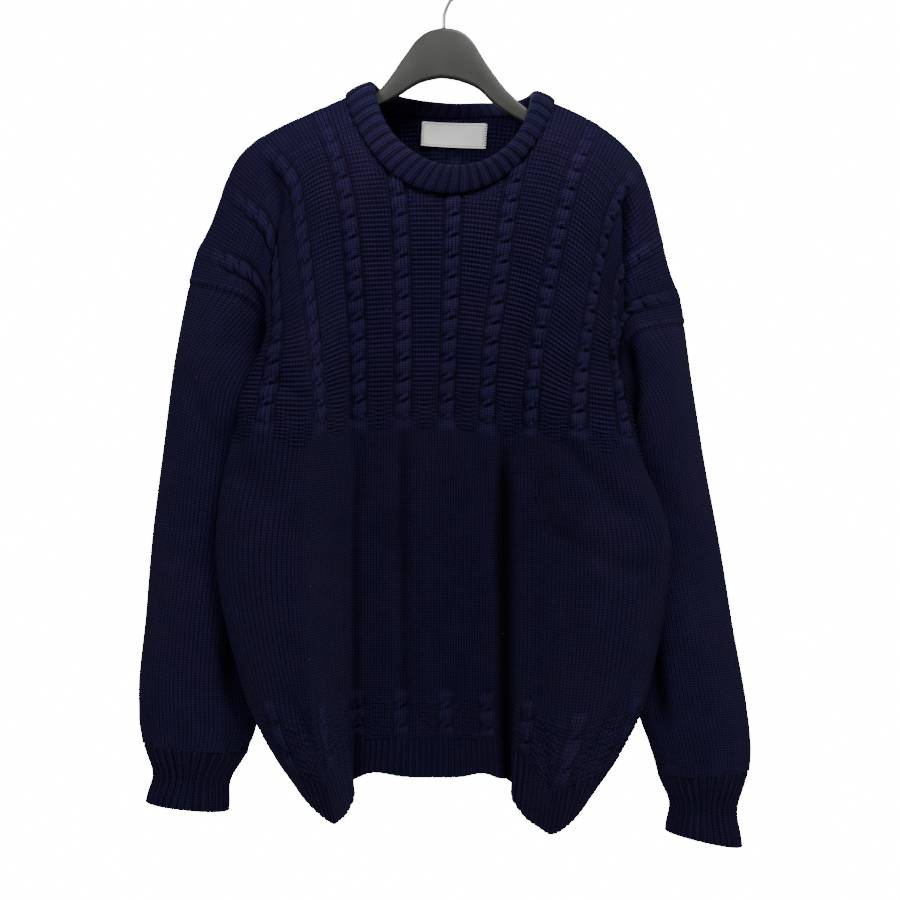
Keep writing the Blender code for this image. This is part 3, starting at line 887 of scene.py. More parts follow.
@dataclass
class Panel:
    """The front or the back, from the neckline and shoulder to the hem.

    Attributes:
        garment: What it shares with the other pieces.
        side: Front or back.
        fine_half: How far from a cable's middle its columns are close together, in cables.
        fine_steps: Spans between those columns.
        ground_steps: Spans between the columns of the ground beside them.
        seam_columns: Wales of the columns by the side seams.
        neck_columns: How far inside the neckline's ends the columns there are, in cables.
        yoke_step: Distance between the yoke's rows, in mm.
        plain_step: Distance between the plain rows.
        past_foot: How far past the cables' foot the rows stay close.
        tuck: How far the panel reaches under the neckband.
        tucked: Depth and half length of the hollow along the neckband's foot.
        squeeze: How far from the neckline the rows are drawn together.
        wale: Knitting across for each cable, in mm.
    """

    garment: Garment
    side: Side
    fine_half: float = 0.235
    fine_steps: int = 13
    ground_steps: int = 6
    seam_columns: tuple = (5.3, 5.36, 5.42, 5.47, 5.5)
    neck_columns: tuple = (0.0, 0.006, 0.02, 0.045)
    yoke_step: float = 0.98
    plain_step: float = 3.9
    past_foot: float = 32.0
    tuck: float = 3.0
    tucked: tuple[float, float] = (1.6, 4.2)
    squeeze: float = 20.0
    wale: float = 46.0

    def wales(self) -> np.ndarray:
        """Columns: close together over the cables and the neckline's ends, wider between.

        Returns:
            Wales of the columns, from left to right.
        """
        fine = np.linspace(-self.fine_half, self.fine_half, self.fine_steps + 1)
        ground = np.linspace(self.fine_half, 1 - self.fine_half, self.ground_steps + 1)[1:-1]
        neck = self.garment.neck
        columns = [k + f for k in range(-LAST_CABLE, LAST_CABLE + 1) for f in fine]
        columns += [k + g for k in range(-LAST_CABLE, LAST_CABLE) for g in ground]
        for sign in (-1, 1):
            columns += [sign * wale for wale in self.seam_columns]
            columns += [neck.middle + sign * (neck.half - inset) for inset in self.neck_columns]
        return np.array(sorted(set(np.round(columns, 4))))

    def rows(self) -> tuple[np.ndarray, np.ndarray]:
        """Distances down for a full column: over the yoke, and below it.

        Returns:
            The yoke's rows and those below it.
        """
        foot = self.garment.form.yoke_foot + self.past_foot
        plain_end = self.garment.work.hem_cables[0] - 4
        stops = ((0, foot, self.yoke_step), (foot, plain_end, self.plain_step))
        stops += ((plain_end, self.garment.form.hem_top, 2 * self.yoke_step),)
        yoke, plain, last = (np.linspace(a, b, round((b - a) / apart) + 1) for a, b, apart in stops)
        return yoke, np.concatenate([plain[1:], last[1:]])

    def shade(self, work: np.ndarray, tucked: np.ndarray, swell: np.ndarray, down: np.ndarray) -> np.ndarray:
        """The height that the relief map paints by: cables painted lighter but held back, painted shade in
        the folds, a painted shadow along the front's neckband foot, and the cloth darker below the yoke.

        Args:
            work: Heights of the knitting.
            tucked: Depths of the hollow by the neckband.
            swell: Heights of the creases.
            down: Distances down, in mm.

        Returns:
            Heights for the relief map.
        """
        # painted highlight on raised cables, held back above 1 mm, and painted shade in the folds
        held = np.where(work > 1, 1 + 0.3 * (work - 1), work) + fold_shade(swell)
        # painted shadow in the hollow along the neckband's foot, on the front only
        by_neck = 1.3 * tucked if self.side == Side.FRONT else 0
        # the relief map is also a little lower below the yoke's foot, so the plain cloth there is darker
        return held - by_neck - 0.4 * step(320, 350, down)

    def build(self, name: str) -> bpy.types.Object:
        """Makes the panel's shell.

        Args:
            name: The piece's name.

        Returns:
            The new object, linked to the scene.
        """
        garment, cable = self.garment, self.wales()
        yoke, lower = self.rows()
        top = np.maximum(0, garment.neck.top(self.side, cable) - self.tuck)
        settled = top + self.squeeze * (top > 0)
        rows = np.broadcast_to(yoke[:, None], (len(yoke), len(cable)))
        rows = np.where(rows < settled, top + self.squeeze * rows / np.maximum(settled, 1), rows)
        down = np.concatenate([rows, np.broadcast_to(lower[:, None], (len(lower), len(cable)))])
        wide = np.broadcast_to(cable, down.shape)
        between = np.clip(np.floor(wide) + 0.5, -LAST_CABLE - 0.25, LAST_CABLE + 0.25)
        ground_row = garment.rows(self.side, between, down)
        cable_row = garment.rows(self.side, nearest_cable(wide), down)
        work = garment.work.lift(wide, down, ground_row, cable_row, garment.pitch(self.side, wide, down))
        depth, half = self.tucked
        by_neck = np.abs(cable - garment.neck.middle) < garment.neck.half
        tucked = depth * bump(down - top[None, :] - self.tuck - 4, half) * by_neck
        swell = garment.swell(self.side, wide, down)
        at_seam = 1 - 0.85 * (np.abs(wide) > 5.45)
        points = garment.surface(self.side, wide, down, (work - tucked + swell) * at_seam)
        shade = self.shade(work, tucked, swell, down)
        return Shell(points, cable * self.wale, down, flip=self.side == Side.BACK, relief=shade).build(name)


@dataclass
class Hem:
    """A ribbed strip below a panel, turned in at its free edge.

    Attributes:
        garment: What it shares with the other pieces.
        side: Front or back.
        ribs: Ribs from seam to seam.
        per_rib: Columns in a rib.
        rise: Height of a rib, in mm.
        floor: Share of that height below the form.
        wall: Thickness of the strip.
        overlap: How far it starts above the panel's foot.
        row_step: Distance between its rows.
        turned: How far it is turned in.
        bends: Degrees at which rows go round the edge.
        wale: Knitting across for each cable, in mm.
        hang: Where the edge hangs lower or is drawn up, on each side.
        hang_round: How late the strip takes that up on its way down, 1 for evenly.
    """

    garment: Garment
    side: Side
    ribs: int = 84
    per_rib: int = 6
    rise: float = 1.5
    floor: float = 0.55
    wall: float = 3.0
    overlap: float = 1.5
    row_step: float = 2.2
    turned: float = 16.0
    bends: tuple = (35, 70, 110, 145)
    wale: float = 46.0
    # wale | half width | aside | drop
    hang: dict = field(
        default_factory=lambda: {
            Side.FRONT: (
                (-2.6, 0.42, 4.5, 14.0),
                (2.05, 0.45, -4.0, 13.0),
                (-1.5, 0.45, 0.0, -6.0),
                (0.85, 0.40, 0.0, -6.0),
            ),
            Side.BACK: ((-2.5, 0.5, 3.0, 6.0), (2.1, 0.5, -3.0, 6.0), (-1.2, 0.5, 0.0, -4.0)),
        }
    )
    hang_round: float = 1.5

    def build(self, name: str) -> bpy.types.Object:
        """Makes the hem's shell: down the outside, round the edge, and up inside.

        Args:
            name: The piece's name.

        Returns:
            The new object, linked to the scene.
        """
        form = self.garment.form
        cable = np.linspace(-form.side_seam, form.side_seam, self.ribs * self.per_rib + 1)
        start = form.hem_top - self.overlap
        outer = np.linspace(start, form.hem_edge, round((form.hem_edge - start) / self.row_step) + 1)
        inner = np.linspace(form.hem_edge, form.hem_edge - self.turned, 7)
        downs, out, past, along, side = turned_edge(outer, inner, self.bends, self.wall)
        wide, down = np.meshgrid(cable, downs)
        ribs = ribbing(self.ribs * (wide / (2 * form.side_seam) + 0.5), self.rise, self.floor)
        linked = step(form.hem_top, form.hem_top + 5, down)
        seam = 1 - step(5.4, 5.49, np.abs(wide))
        swell = self.garment.swell(self.side, wide, down) * seam
        lift = out[:, None] + ribs * linked * seam * side[:, None] + swell
        points = self.garment.surface(self.side, wide, down, lift)
        lower = np.clip((down - form.hem_top) / (form.hem_edge - form.hem_top), 0, 1) ** self.hang_round
        for wale, half, aside, drop in self.hang[self.side]:
            points += (lower * bump(wide - wale, half))[..., None] * np.array((aside, 0.0, -drop))
        fall = unit(form.point(self.side, wide, down) - form.point(self.side, wide, down - form.near[1]))
        points = points + fall * past[:, None, None]
        # painted highlight on the ribs' tops and painted shade between them and in the folds, through the
        # relief map
        relief = 1.3 * ribs + fold_shade(swell)
        flip = self.side == Side.BACK
        return Shell(points, cable * self.wale, along[:, None], flip=flip, relief=relief).build(name)


@dataclass
class Tube:
    """A sleeve's sections from the armhole to the cuff's edge, and the knitting round them.

    Attributes:
        garment: What it shares with the other pieces.
        hand: Left or right.
        sections: Rows of the outer point, the inner point and the half depth of each section, in mm.
        yoke_downs: Distances down of the armhole's points, as on the solid.
        middle_y: Y of the sections' middles.
    """

    garment: Garment
    hand: Hand
    sections: tuple
    yoke_downs: tuple = (0, 10, *(25 * n for n in range(1, 11)))
    middle_y: float = 0.0

    def armhole(self, count: int) -> np.ndarray:
        """Points round the armhole: down the front's edge and up the back's.

        Args:
            count: Number of points.

        Returns:
            Points, one to a row.
        """
        form, edge = self.garment.form, self.hand * self.garment.form.side_seam
        half = len(self.yoke_downs) - 1
        at = np.arange(count) * 2 * half / count
        down = np.interp(np.minimum(at, 2 * half - at), np.arange(half + 1), self.yoke_downs)
        front, back = form.point(Side.FRONT, edge, down), form.point(Side.BACK, edge, down)
        ring = np.where((at <= half)[:, None], front, back)
        for n in (0, count // 2):
            ring[n] = (front[n] + back[n]) / 2
        return ring

    def rings(self, count: int) -> tuple[np.ndarray, np.ndarray]:
        """All the table's rings with the armhole first, and their travel down the sleeve.

        Args:
            count: Points in a ring.

        Returns:
            The rings' points, and the distance run at each.
        """
        turn = 2 * math.pi * np.arange(count) / count
        made = [self.armhole(count)]
        for ox, oz, ix, iz, half in self.sections:
            outer, inner = np.array([ox, self.middle_y, oz], float), np.array([ix, self.middle_y, iz], float)
            ring = (outer + inner) / 2 + (outer - inner) / 2 * np.cos(turn)[:, None]
            ring[:, 1] -= half * np.sin(turn)
            made.append(ring)
        return np.array(made), travelled(np.array([ring.mean(axis=0) for ring in made]))

    @staticmethod
    def normals(grid: np.ndarray) -> np.ndarray:
        """Unit normals of a closed grid, facing out.

        Args:
            grid: Rows of rings of points.

        Returns:
            A normal for each point.
        """
        fall = np.gradient(grid, axis=0)
        across = np.roll(grid, -1, axis=1) - np.roll(grid, 1, axis=1)
        out = unit(np.cross(fall, across))
        away = grid - grid.mean(axis=1, keepdims=True)
        return out * np.sign(np.mean(np.sum(out * away, axis=-1)))


@dataclass
class Sleeve(Tube):
    """A plain sleeve from the armhole's seam to the cuff.

    Attributes:
        around: Columns round it.
        row_step: Distance between its rows, in mm.
        seam_rows: Distances down of more rows by the seam.
        creases: Folds, given in radians round and mm down.
        welt: Height of the linked welt at the seam, its distance down and its half width.
        below_welt: Depth of the hollow below it, that one's distance down and its half width.
        links: Links round the welt.
        pleats: Gathers round the cuff.
        gather: Height of the gathers, and how far over the cuff they start and are full.
        turn_mm: Knitting across for each radian.
    """

    around: int = 154
    row_step: float = 2.8
    seam_rows: tuple = (1.2, 4.0, 5.4, 7.0)
    creases: tuple = ()
    welt: tuple[float, float, float] = (2.3, 2.8, 2.2)
    below_welt: tuple[float, float, float] = (0.9, 8.0, 3.0)
    links: int = 46
    pleats: int = 13
    gather: tuple[float, float, float] = (1.5, 48.0, 6.0)
    turn_mm: float = 42.0

    def seam(self, turn: np.ndarray, down: np.ndarray) -> np.ndarray:
        """The welt along the armhole, highest on the front and back, and the hollow below it.

        Args:
            turn: Radians round the sleeve.
            down: Distances down, in mm.

        Returns:
            Heights, in mm.
        """
        linked = 0.75 + 0.25 * np.cos(turn * self.links)
        height, middle, half = self.welt
        welt = height * bump(down - middle, half) * linked * (0.25 + np.abs(np.sin(turn)))
        depth, middle, half = self.below_welt
        return welt - depth * bump(down - middle, half)

    def gathers(self, turn: np.ndarray, over: np.ndarray) -> np.ndarray:
        """The uneven gathers where the sleeve runs into the cuff, from how far over it each place is.

        Args:
            turn: Radians round the sleeve.
            over: Distances over the cuff.

        Returns:
            Heights, in mm.
        """
        rise, start, full = self.gather
        uneven = 0.6 + 0.4 * np.cos(turn * 3 + self.hand)
        pleats = np.cos(turn * self.pleats + 0.8 * np.sin(turn * 2))
        return rise * pleats * uneven * step(-start, -full, -over)

    def build(self, name: str) -> bpy.types.Object:
        """Makes the sleeve's shell, with its welt, creases and gathers.

        Args:
            name: The piece's name.

        Returns:
            The new object, linked to the scene.
        """
        rings, travel = self.rings(self.around)
        end = travel[-2]
        at = np.linspace(0, end, round(end / self.row_step) + 1)
        at = np.sort(np.concatenate([at, self.seam_rows]))
        grid = smooth(travel, rings, at)
        wide, down = np.meshgrid(2 * math.pi * np.arange(self.around) / self.around, at)
        folds = sum(crease.lift(wide, down) for crease in self.creases) * step(2, 16, down)
        lie = 0.6 * np.sin(wide * 3 + down / 31) * step(10, 60, down)
        lift = self.seam(wide, down) + folds + self.gathers(wide, end - down) + lie
        points = grid + self.normals(grid) * lift[..., None]
        across = np.arange(self.around + 1) * 2 * math.pi * self.turn_mm / self.around
        # painted shade in the sleeve's folds, through the relief map
        return Shell(points, across, down, closed=True, relief=fold_shade(folds)).build(name)


@dataclass
class Cuff(Tube):
    """A ribbed cuff below a sleeve, turned in at its free edge.

    Attributes:
        ribs: Ribs round it.
        per_rib: Columns in a rib.
        rise: Height of a rib, in mm.
        floor: Share of that height below the form.
        wall: Thickness of the cuff.
        turned: How far it is turned in.
        rows_out: Rows down the outside.
        bends: Degrees at which rows go round the edge.
        lead: How far it starts inside the sleeve.
        waist: How far it is drawn in, and where and over how much of its length, as shares of it.
        link: Height of the links that join it to the sleeve, their distance down and half width.
        rib_mm: Knitting across for each rib.
    """

    ribs: int = 34
    per_rib: int = 8
    rise: float = 1.4
    floor: float = 0.6
    wall: float = 3.0
    turned: float = 14.0
    rows_out: int = 26
    bends: tuple = (30, 60, 90, 120, 150)
    lead: float = 2.0
    waist: tuple[float, float, float] = (8.5, 0.52, 0.34)
    link: tuple[float, float, float] = (1.1, 2.2, 1.8)
    rib_mm: float = 5.8

    def build(self, name: str) -> bpy.types.Object:
        """Makes the cuff's shell: down the outside, round the edge, and up inside.

        Args:
            name: The piece's name.

        Returns:
            The new object, linked to the scene.
        """
        count = self.ribs * self.per_rib
        top, edge = self.rings(count)[0][-2:]
        length = float(np.linalg.norm(edge.mean(axis=0) - top.mean(axis=0)))
        away = unit(top - top.mean(axis=0))
        outer = np.linspace(-self.lead, length, self.rows_out)
        inner = np.linspace(length, length - self.turned, 6)
        down, out, past, along, side = turned_edge(outer, inner, self.bends, self.wall)
        turn = np.arange(count) / self.per_rib
        rib = ribbing(turn, self.rise, self.floor)
        height, middle, half = self.link
        links = bump(down - middle, half)[:, None] * at_least(0.5, np.abs(np.sin(math.pi * turn * 1.5)))
        drawn, narrowest, reach = self.waist
        waist = -drawn * bump(down / length - narrowest, reach)
        shown = step(-self.lead, 5, down) * side
        lift = rib[None, :] * shown[:, None] + height * links + (out + waist)[:, None]
        points = top + (edge - top) * (down / length)[:, None, None] + away * lift[..., None]
        points = points + unit(edge - top) * past[:, None, None]
        across = np.arange(count + 1) / self.per_rib * self.rib_mm
        # painted highlight on the ribs' tops and painted shade between them, through the relief map
        return Shell(points, across, along[:, None], closed=True, relief=1.6 * rib).build(name)


@dataclass
class Neckband:
    """The doubled rib collar, round the neckline's edge and over its own rim.

    Attributes:
        garment: What it shares with the other pieces.
        ribs: Ribs round it.
        per_rib: Columns in a rib.
        rise: Height of a rib, in mm.
        floor: Share of that height below the band.
        rib_mm: Knitting across for each rib.
        rib_turn: How far the front's ribs turn at the rim to stand square to it, in radians.
        height: Height of the band along its middle, in mm, for its knitting.
        section: The band's section, from the foot outside over the rim to the foot inside.
        section_steps: Rows for each of the section's spans.
        even_out: Columns on each side that the foot, its facing and the rim are evened over.
    """

    garment: Garment
    ribs: int = 46
    per_rib: int = 10
    rise: float = 2.1
    floor: float = 0.7
    rib_mm: float = 10.5
    rib_turn: float = 0.21
    height: float = 28.0
    # share of the rise from foot to rim | out of the band's middle, in mm
    section: tuple = (
        (-0.05, 0.2),
        (-0.06, 2.4),
        (0.06, 4.2),
        (0.32, 4.9),
        (0.62, 4.4),
        (0.84, 3.0),
        (0.96, 0.9),
        (1.00, -2.2),
        (0.96, -4.8),
        (0.84, -6.4),
        (0.60, -7.0),
        (0.30, -6.4),
        (0.04, -4.6),
        (-0.06, -3.2),
    )
    section_steps: int = 3
    even_out: tuple[int, int, int] = (3, 14, 8)

    def foot(self, turn: np.ndarray) -> tuple[np.ndarray, np.ndarray]:
        """The neckline's edge at each turn, and the way the panel faces there.

        Args:
            turn: Turns round the neck, in radians.

        Returns:
            Points and unit vectors, one to a row.
        """
        neck, form = self.garment.neck, self.garment.form
        cable = neck.middle + neck.half * np.cos(turn)
        points, faces = np.zeros((len(turn), 3)), np.zeros((len(turn), 3))
        for side in Side:
            here = (np.sin(turn) >= 0) == (side == Side.FRONT)
            down = neck.down[side] * np.abs(np.sin(turn[here]))
            points[here] = form.point(side, cable[here], down)
            normal = form.normal(side, cable[here], down)
            normal[:, 1] *= step(0, 12, down)
            faces[here] = unit(normal)
        return points, faces

    @staticmethod
    def even(values: np.ndarray, reach: int) -> np.ndarray:
        """A running mean round a ring."""
        return sum(np.roll(values, n, axis=0) for n in range(-reach, reach + 1)) / (2 * reach + 1)

    def build(self, name: str) -> bpy.types.Object:
        """Makes the band's shell.

        Args:
            name: The piece's name.

        Returns:
            The new object, linked to the scene.
        """
        count = self.ribs * self.per_rib
        fine = np.linspace(0, 2 * math.pi, 2001)
        neck = self.garment.neck
        travel = travelled(0.5 * (self.foot(fine)[0] + neck.rim(fine)))
        turn = np.interp(np.arange(count) * travel[-1] / count, travel, fine)
        square_on = turn + np.where(np.sin(turn) > 0, self.rib_turn * np.sin(2 * turn), 0)
        for_foot, for_face, for_rim = self.even_out
        foot, face = self.foot(turn)
        foot, face = self.even(foot, for_foot), unit(self.even(face, for_face))
        rim = self.even(neck.rim(square_on), for_rim)
        up = unit(rim - foot)
        out = unit(face - up * np.sum(face * up, axis=1, keepdims=True))
        table = np.array(self.section)
        at = np.linspace(0, len(table) - 1, (len(table) - 1) * self.section_steps + 1)
        share, off = smooth(np.arange(len(table)), table, at).T
        rib = ribbing(np.arange(count) / self.per_rib, self.rise, self.floor)
        # the ribs face outward up to the rim and inward after it, and are lower there and on the inside
        facing = np.where(at < 6.5, 1.0, -0.7) * step(0, 1.5, at) * step(0, 1.5, at[-1] - at)
        height = np.where(at < 8, 1.0, 0.6) * np.where(np.abs(at - 6.8) < 1, 0.5, 1)
        lift = off[:, None] + rib[None, :] * (facing * height)[:, None]
        points = foot[None] + (rim - foot)[None] * share[:, None, None] + out[None] * lift[..., None]
        around = np.arange(count + 1) / self.per_rib * self.rib_mm
        along = travelled(np.stack([share * self.height, off], axis=1))
        # the band is painted lighter all over, and its ribs painted lighter on top and darker between,
        # through the relief map
        relief = 0.6 + 1.3 * rib
        return Shell(points, around, along[:, None], closed=True, flip=True, relief=relief).build(name)


@dataclass
class Label:
    """A small woven label, bare, stitched flat on the inside of the back below the neckband.

    Attributes:
        garment: What it shares with the other pieces.
        middle: X and Z of its middle, in mm.
        half: Half its width and height.
        tilt: How far it is turned, in radians.
        clear: How far it stays in front of the back's form.
        thick: How far its woven border is raised.
        border: How far in from the edges the border's middle is, and its half width.
        columns: Points across.
        rows: Points down.
        smoothing: How many times its lie is evened.
    """

    garment: Garment
    middle: tuple[float, float] = (8.0, -164.5)
    half: tuple[float, float] = (33.5, 12.2)
    tilt: float = math.radians(3.8)
    clear: float = 3.6
    thick: float = 0.5
    border: tuple[float, float] = (1.6, 0.9)
    columns: int = 67
    rows: int = 25
    smoothing: int = 6

    def behind(self, x: np.ndarray, z: np.ndarray) -> np.ndarray:
        """Y of the back's inside at each place, evened over its neighbours.

        Args:
            x: X of each place.
            z: Its height.

        Returns:
            Y of each place.
        """
        cable, down = np.meshgrid(np.linspace(-1.7, 1.7, 120), np.linspace(20, 100, 90))
        inside = self.garment.form.point(Side.BACK, cable, down).reshape(-1, 3)
        gap = (x.ravel()[:, None] - inside[:, 0]) ** 2 + (z.ravel()[:, None] - inside[:, 2]) ** 2
        near = np.argsort(gap, axis=1)[:, :6]
        y = inside[near, 1].mean(axis=1).reshape(x.shape)
        for _ in range(self.smoothing):
            y[1:-1] = (y[:-2] + 2 * y[1:-1] + y[2:]) / 4
            y[:, 1:-1] = (y[:, :-2] + 2 * y[:, 1:-1] + y[:, 2:]) / 4
        return y

    def build(self, name: str) -> bpy.types.Object:
        """Makes the label's shell: a satin face with a raised woven border.

        Args:
            name: The piece's name.

        Returns:
            The new object, linked to the scene.
        """
        s, t = np.meshgrid(np.linspace(-1, 1, self.columns), np.linspace(-1, 1, self.rows))
        x0, z0 = s * self.half[0], -t * self.half[1]
        x = self.middle[0] + x0 * math.cos(self.tilt) + z0 * math.sin(self.tilt)
        z = self.middle[1] - x0 * math.sin(self.tilt) + z0 * math.cos(self.tilt)
        inset, border_half = self.border
        to_edges = [np.abs(place) * half - half + inset for place, half in zip((s, t), self.half)]
        raised = self.thick * bump(np.maximum(*to_edges), border_half)
        sag = 0.5 * np.sin(s * 5 + t) * (1 - np.abs(t))
        points = np.stack([x, self.behind(x, z) - self.clear - raised - sag, z], axis=-1)
        across = (np.linspace(-1, 1, self.columns) + 1) * self.half[0]
        return Shell(points, across, (t + 1) * self.half[1]).build(name)


def curve_through(points: np.ndarray, per_span: int) -> np.ndarray:
    """A Catmull-Rom curve through points in order, with a number of steps between neighbours.

    Args:
        points: Points, one to a row.
        per_span: Steps between neighbours.

    Returns:
        Points of the curve, one to a row.
    """
    last = len(points) - 1
    t = (np.arange(per_span) / per_span)[:, None]
    made = []
    for n in range(last):
        a, b, c, d = (points[min(max(n + k, 0), last)] for k in (-1, 0, 1, 2))
        square, cube = a - 2.5 * b + 2 * c - 0.5 * d, -0.5 * a + 1.5 * b - 1.5 * c + 0.5 * d
        made.append(b + 0.5 * t * (c - a) + t**2 * square + t**3 * cube)
    return np.concatenate([*made, points[-1:]])


@dataclass
class Hanger:
    """The moulded hanger: rounded sections from the left tip over the dome to the right tip.

    Attributes:
        upper: X and Z of the upper edge's points, in mm, left and right of the dome's middle.
        lower: The lower edge's points, alike.
        thick: Thickness from front to back.
        round_off: Radius of the sections' corners.
        sections: Sections on each side of the dome's middle.
        corner_steps: Points in a corner.
        tip_sizes: Size of the last sections at each tip.
    """

    upper: tuple = (
        (
            *((-186, -192.8), (-146, -175), (-107, -158), (-68, -130)),
            *((-44, -98), (-30, -79), (-18, -70), (-3, -66)),
        ),
        (
            *((-3, -66), (13, -69), (26, -79), (40, -101), (60, -128)),
            *((84, -149), (111, -162), (165, -191), (178, -202)),
        ),
    )
    lower: tuple = (
        ((-188, -202), (-181, -205), (-120, -169), (-64, -143), (-46, -133), (-26, -121), (-5, -116)),
        ((-5, -116), (13, -119), (32, -127), (48, -142), (68, -156), (120, -184), (173, -213)),
    )
    thick: float = 10.0
    round_off: float = 3.4
    sections: int = 90
    corner_steps: int = 6
    tip_sizes: tuple[float, float] = (0.55, 0.86)

    def edge(self, parts: tuple) -> np.ndarray:
        """An edge of the outline, evenly spaced on each side of the dome's middle.

        Args:
            parts: Points of the left and of the right stretch.

        Returns:
            X and Z, one pair to a row.
        """
        halves = []
        for part in parts:
            line = curve_through(np.array(part, float), 12)
            travel = travelled(line)
            at = np.linspace(0, travel[-1], self.sections)
            halves.append(np.stack([np.interp(at, travel, line[:, k]) for k in (0, 1)], axis=1))
        return np.concatenate([halves[0], halves[1][1:]])

    def section(self, top: np.ndarray, foot: np.ndarray, size: float) -> list[tuple[float, float, float]]:
        """A rounded ring of points between the upper and the lower edge.

        Args:
            top: X and Z on the upper edge.
            foot: X and Z on the lower edge.
            size: Share of its full size.

        Returns:
            Points, in order round it.
        """
        middle, reach = (top + foot) / 2, float(np.linalg.norm(top - foot)) / 2
        up = (top - foot) / (2 * reach)
        corner = self.round_off
        ring = []
        for quarter, (sy, sz) in enumerate(((1, 1), (-1, 1), (-1, -1), (1, -1))):
            for bend in np.linspace(0, math.pi / 2, self.corner_steps):
                turn = bend + quarter * math.pi / 2
                y = sy * (self.thick / 2 - corner) + corner * math.cos(turn)
                rise = sz * (reach - corner) + corner * math.sin(turn)
                x, z = middle + up * rise * size
                ring.append((x, y * size, z))
        return ring

    def build(self, name: str) -> bpy.types.Object:
        """Makes the closed hanger body.

        Args:
            name: The piece's name.

        Returns:
            The new object, linked to the scene.
        """
        tops, feet = self.edge(self.upper), self.edge(self.lower)
        sizes = np.ones(len(tops))
        for n, size in enumerate(self.tip_sizes):
            sizes[[n, -1 - n]] = size
        return capped_tube(name, [self.section(*place) for place in zip(tops, feet, sizes)])


@dataclass
class Hook:
    """The bent wire hook, with a rounded end.

    Attributes:
        radius: Radius of the wire, in mm.
        stem: X and Z of the points of the stem.
        arc: Degrees between which the wire bends round the rail.
        arc_steps: Points in that bend.
        inner: Radius of the bend's inside.
        sides: Sides of the wire.
        end: Degrees of the sections round its free end.
    """

    radius: float = 1.75
    stem: tuple = ((-2.0, -70.0), (-2.0, -65.7), (-1.5, -52.0), (4.0, -39.0))
    arc: tuple = (-48.0, 200.0)
    arc_steps: int = 60
    inner: float = 18.0
    sides: int = 20
    end: tuple = (0, 30, 60, 82)

    def build(self, name: str) -> bpy.types.Object:
        """Makes the wire as a closed tube.

        Args:
            name: The piece's name.

        Returns:
            The new object, linked to the scene.
        """
        reach = self.inner + self.radius
        bend = np.radians(np.linspace(*self.arc, self.arc_steps))
        ring = np.stack([reach * np.cos(bend), reach * (np.sin(bend) - 1) + self.radius], axis=1)
        line = np.concatenate([curve_through(np.array(self.stem), 8), ring])
        ahead = unit(np.gradient(line, axis=0))
        across = np.stack([ahead[:, 1], -ahead[:, 0]], axis=1)
        steps = [
            (line[-1] + ahead[-1] * self.radius * math.sin(a), across[-1], self.radius * math.cos(a))
            for a in np.radians(self.end)
        ]
        rings = []
        for centre, side, radius in [*((p, s, self.radius) for p, s in zip(line[:-1], across[:-1])), *steps]:
            turns = 2 * math.pi * np.arange(self.sides) / self.sides
            flats = centre + side * radius * np.cos(turns)[:, None]
            rings.append([(x, y, z) for (x, z), y in zip(flats, radius * np.sin(turns))])
        return capped_tube(name, rings)


class Wire:
    """A shader socket whose operators add Math nodes."""

    def __init__(self, tree: bpy.types.NodeTree, socket: bpy.types.NodeSocket) -> None:
        """Wraps a socket of a node tree."""
        self.tree = tree
        self.socket = socket

    def _math(self, operation: str, first: Wire | float, second: Wire | float | None = None) -> Wire:
        """Adds a Math node.

        Args:
            operation: What the node does.
            first: Its first value.
            second: Its second value.

        Returns:
            The node's output.
        """
        node = self.tree.nodes.new("ShaderNodeMath")
        node.operation = operation
        for slot, value in zip(node.inputs, (first, second)):
            if isinstance(value, Wire):
                self.tree.links.new(value.socket, slot)
            elif value is not None:
                slot.default_value = value
        return Wire(self.tree, node.outputs[0])

    def __add__(self, other: Wire | float) -> Wire:
        """Adds."""
        return self._math("ADD", self, other)

    def __radd__(self, other: Wire | float) -> Wire:
        """Adds to a number."""
        return self._math("ADD", other, self)

    def __sub__(self, other: Wire | float) -> Wire:
        """Subtracts."""
        return self._math("SUBTRACT", self, other)

    def __rsub__(self, other: Wire | float) -> Wire:
        """Subtracts from a number."""
        return self._math("SUBTRACT", other, self)

    def __mul__(self, other: Wire | float) -> Wire:
        """Multiplies."""
        return self._math("MULTIPLY", self, other)

    def __rmul__(self, other: Wire | float) -> Wire:
        """Multiplies a number."""
        return self._math("MULTIPLY", other, self)

    def __truediv__(self, other: Wire | float) -> Wire:
        """Divides."""
        return self._math("DIVIDE", self, other)

    def __gt__(self, other: Wire | float) -> Wire:
        """Gives 1 where it is greater, 0 elsewhere."""
        return self._math("GREATER_THAN", self, other)

    def __pow__(self, other: Wire | float) -> Wire:
        """Raises to a power."""
        return self._math("POWER", self, other)

    def __abs__(self) -> Wire:
        """Drops the sign."""
        return self._math("ABSOLUTE", self)

    def fract(self) -> Wire:
        """The part after the point."""
        return self._math("FRACT", self)

    def sine(self) -> Wire:
        """The sine of radians."""
        return self._math("SINE", self)


Look = Wire | float | tuple


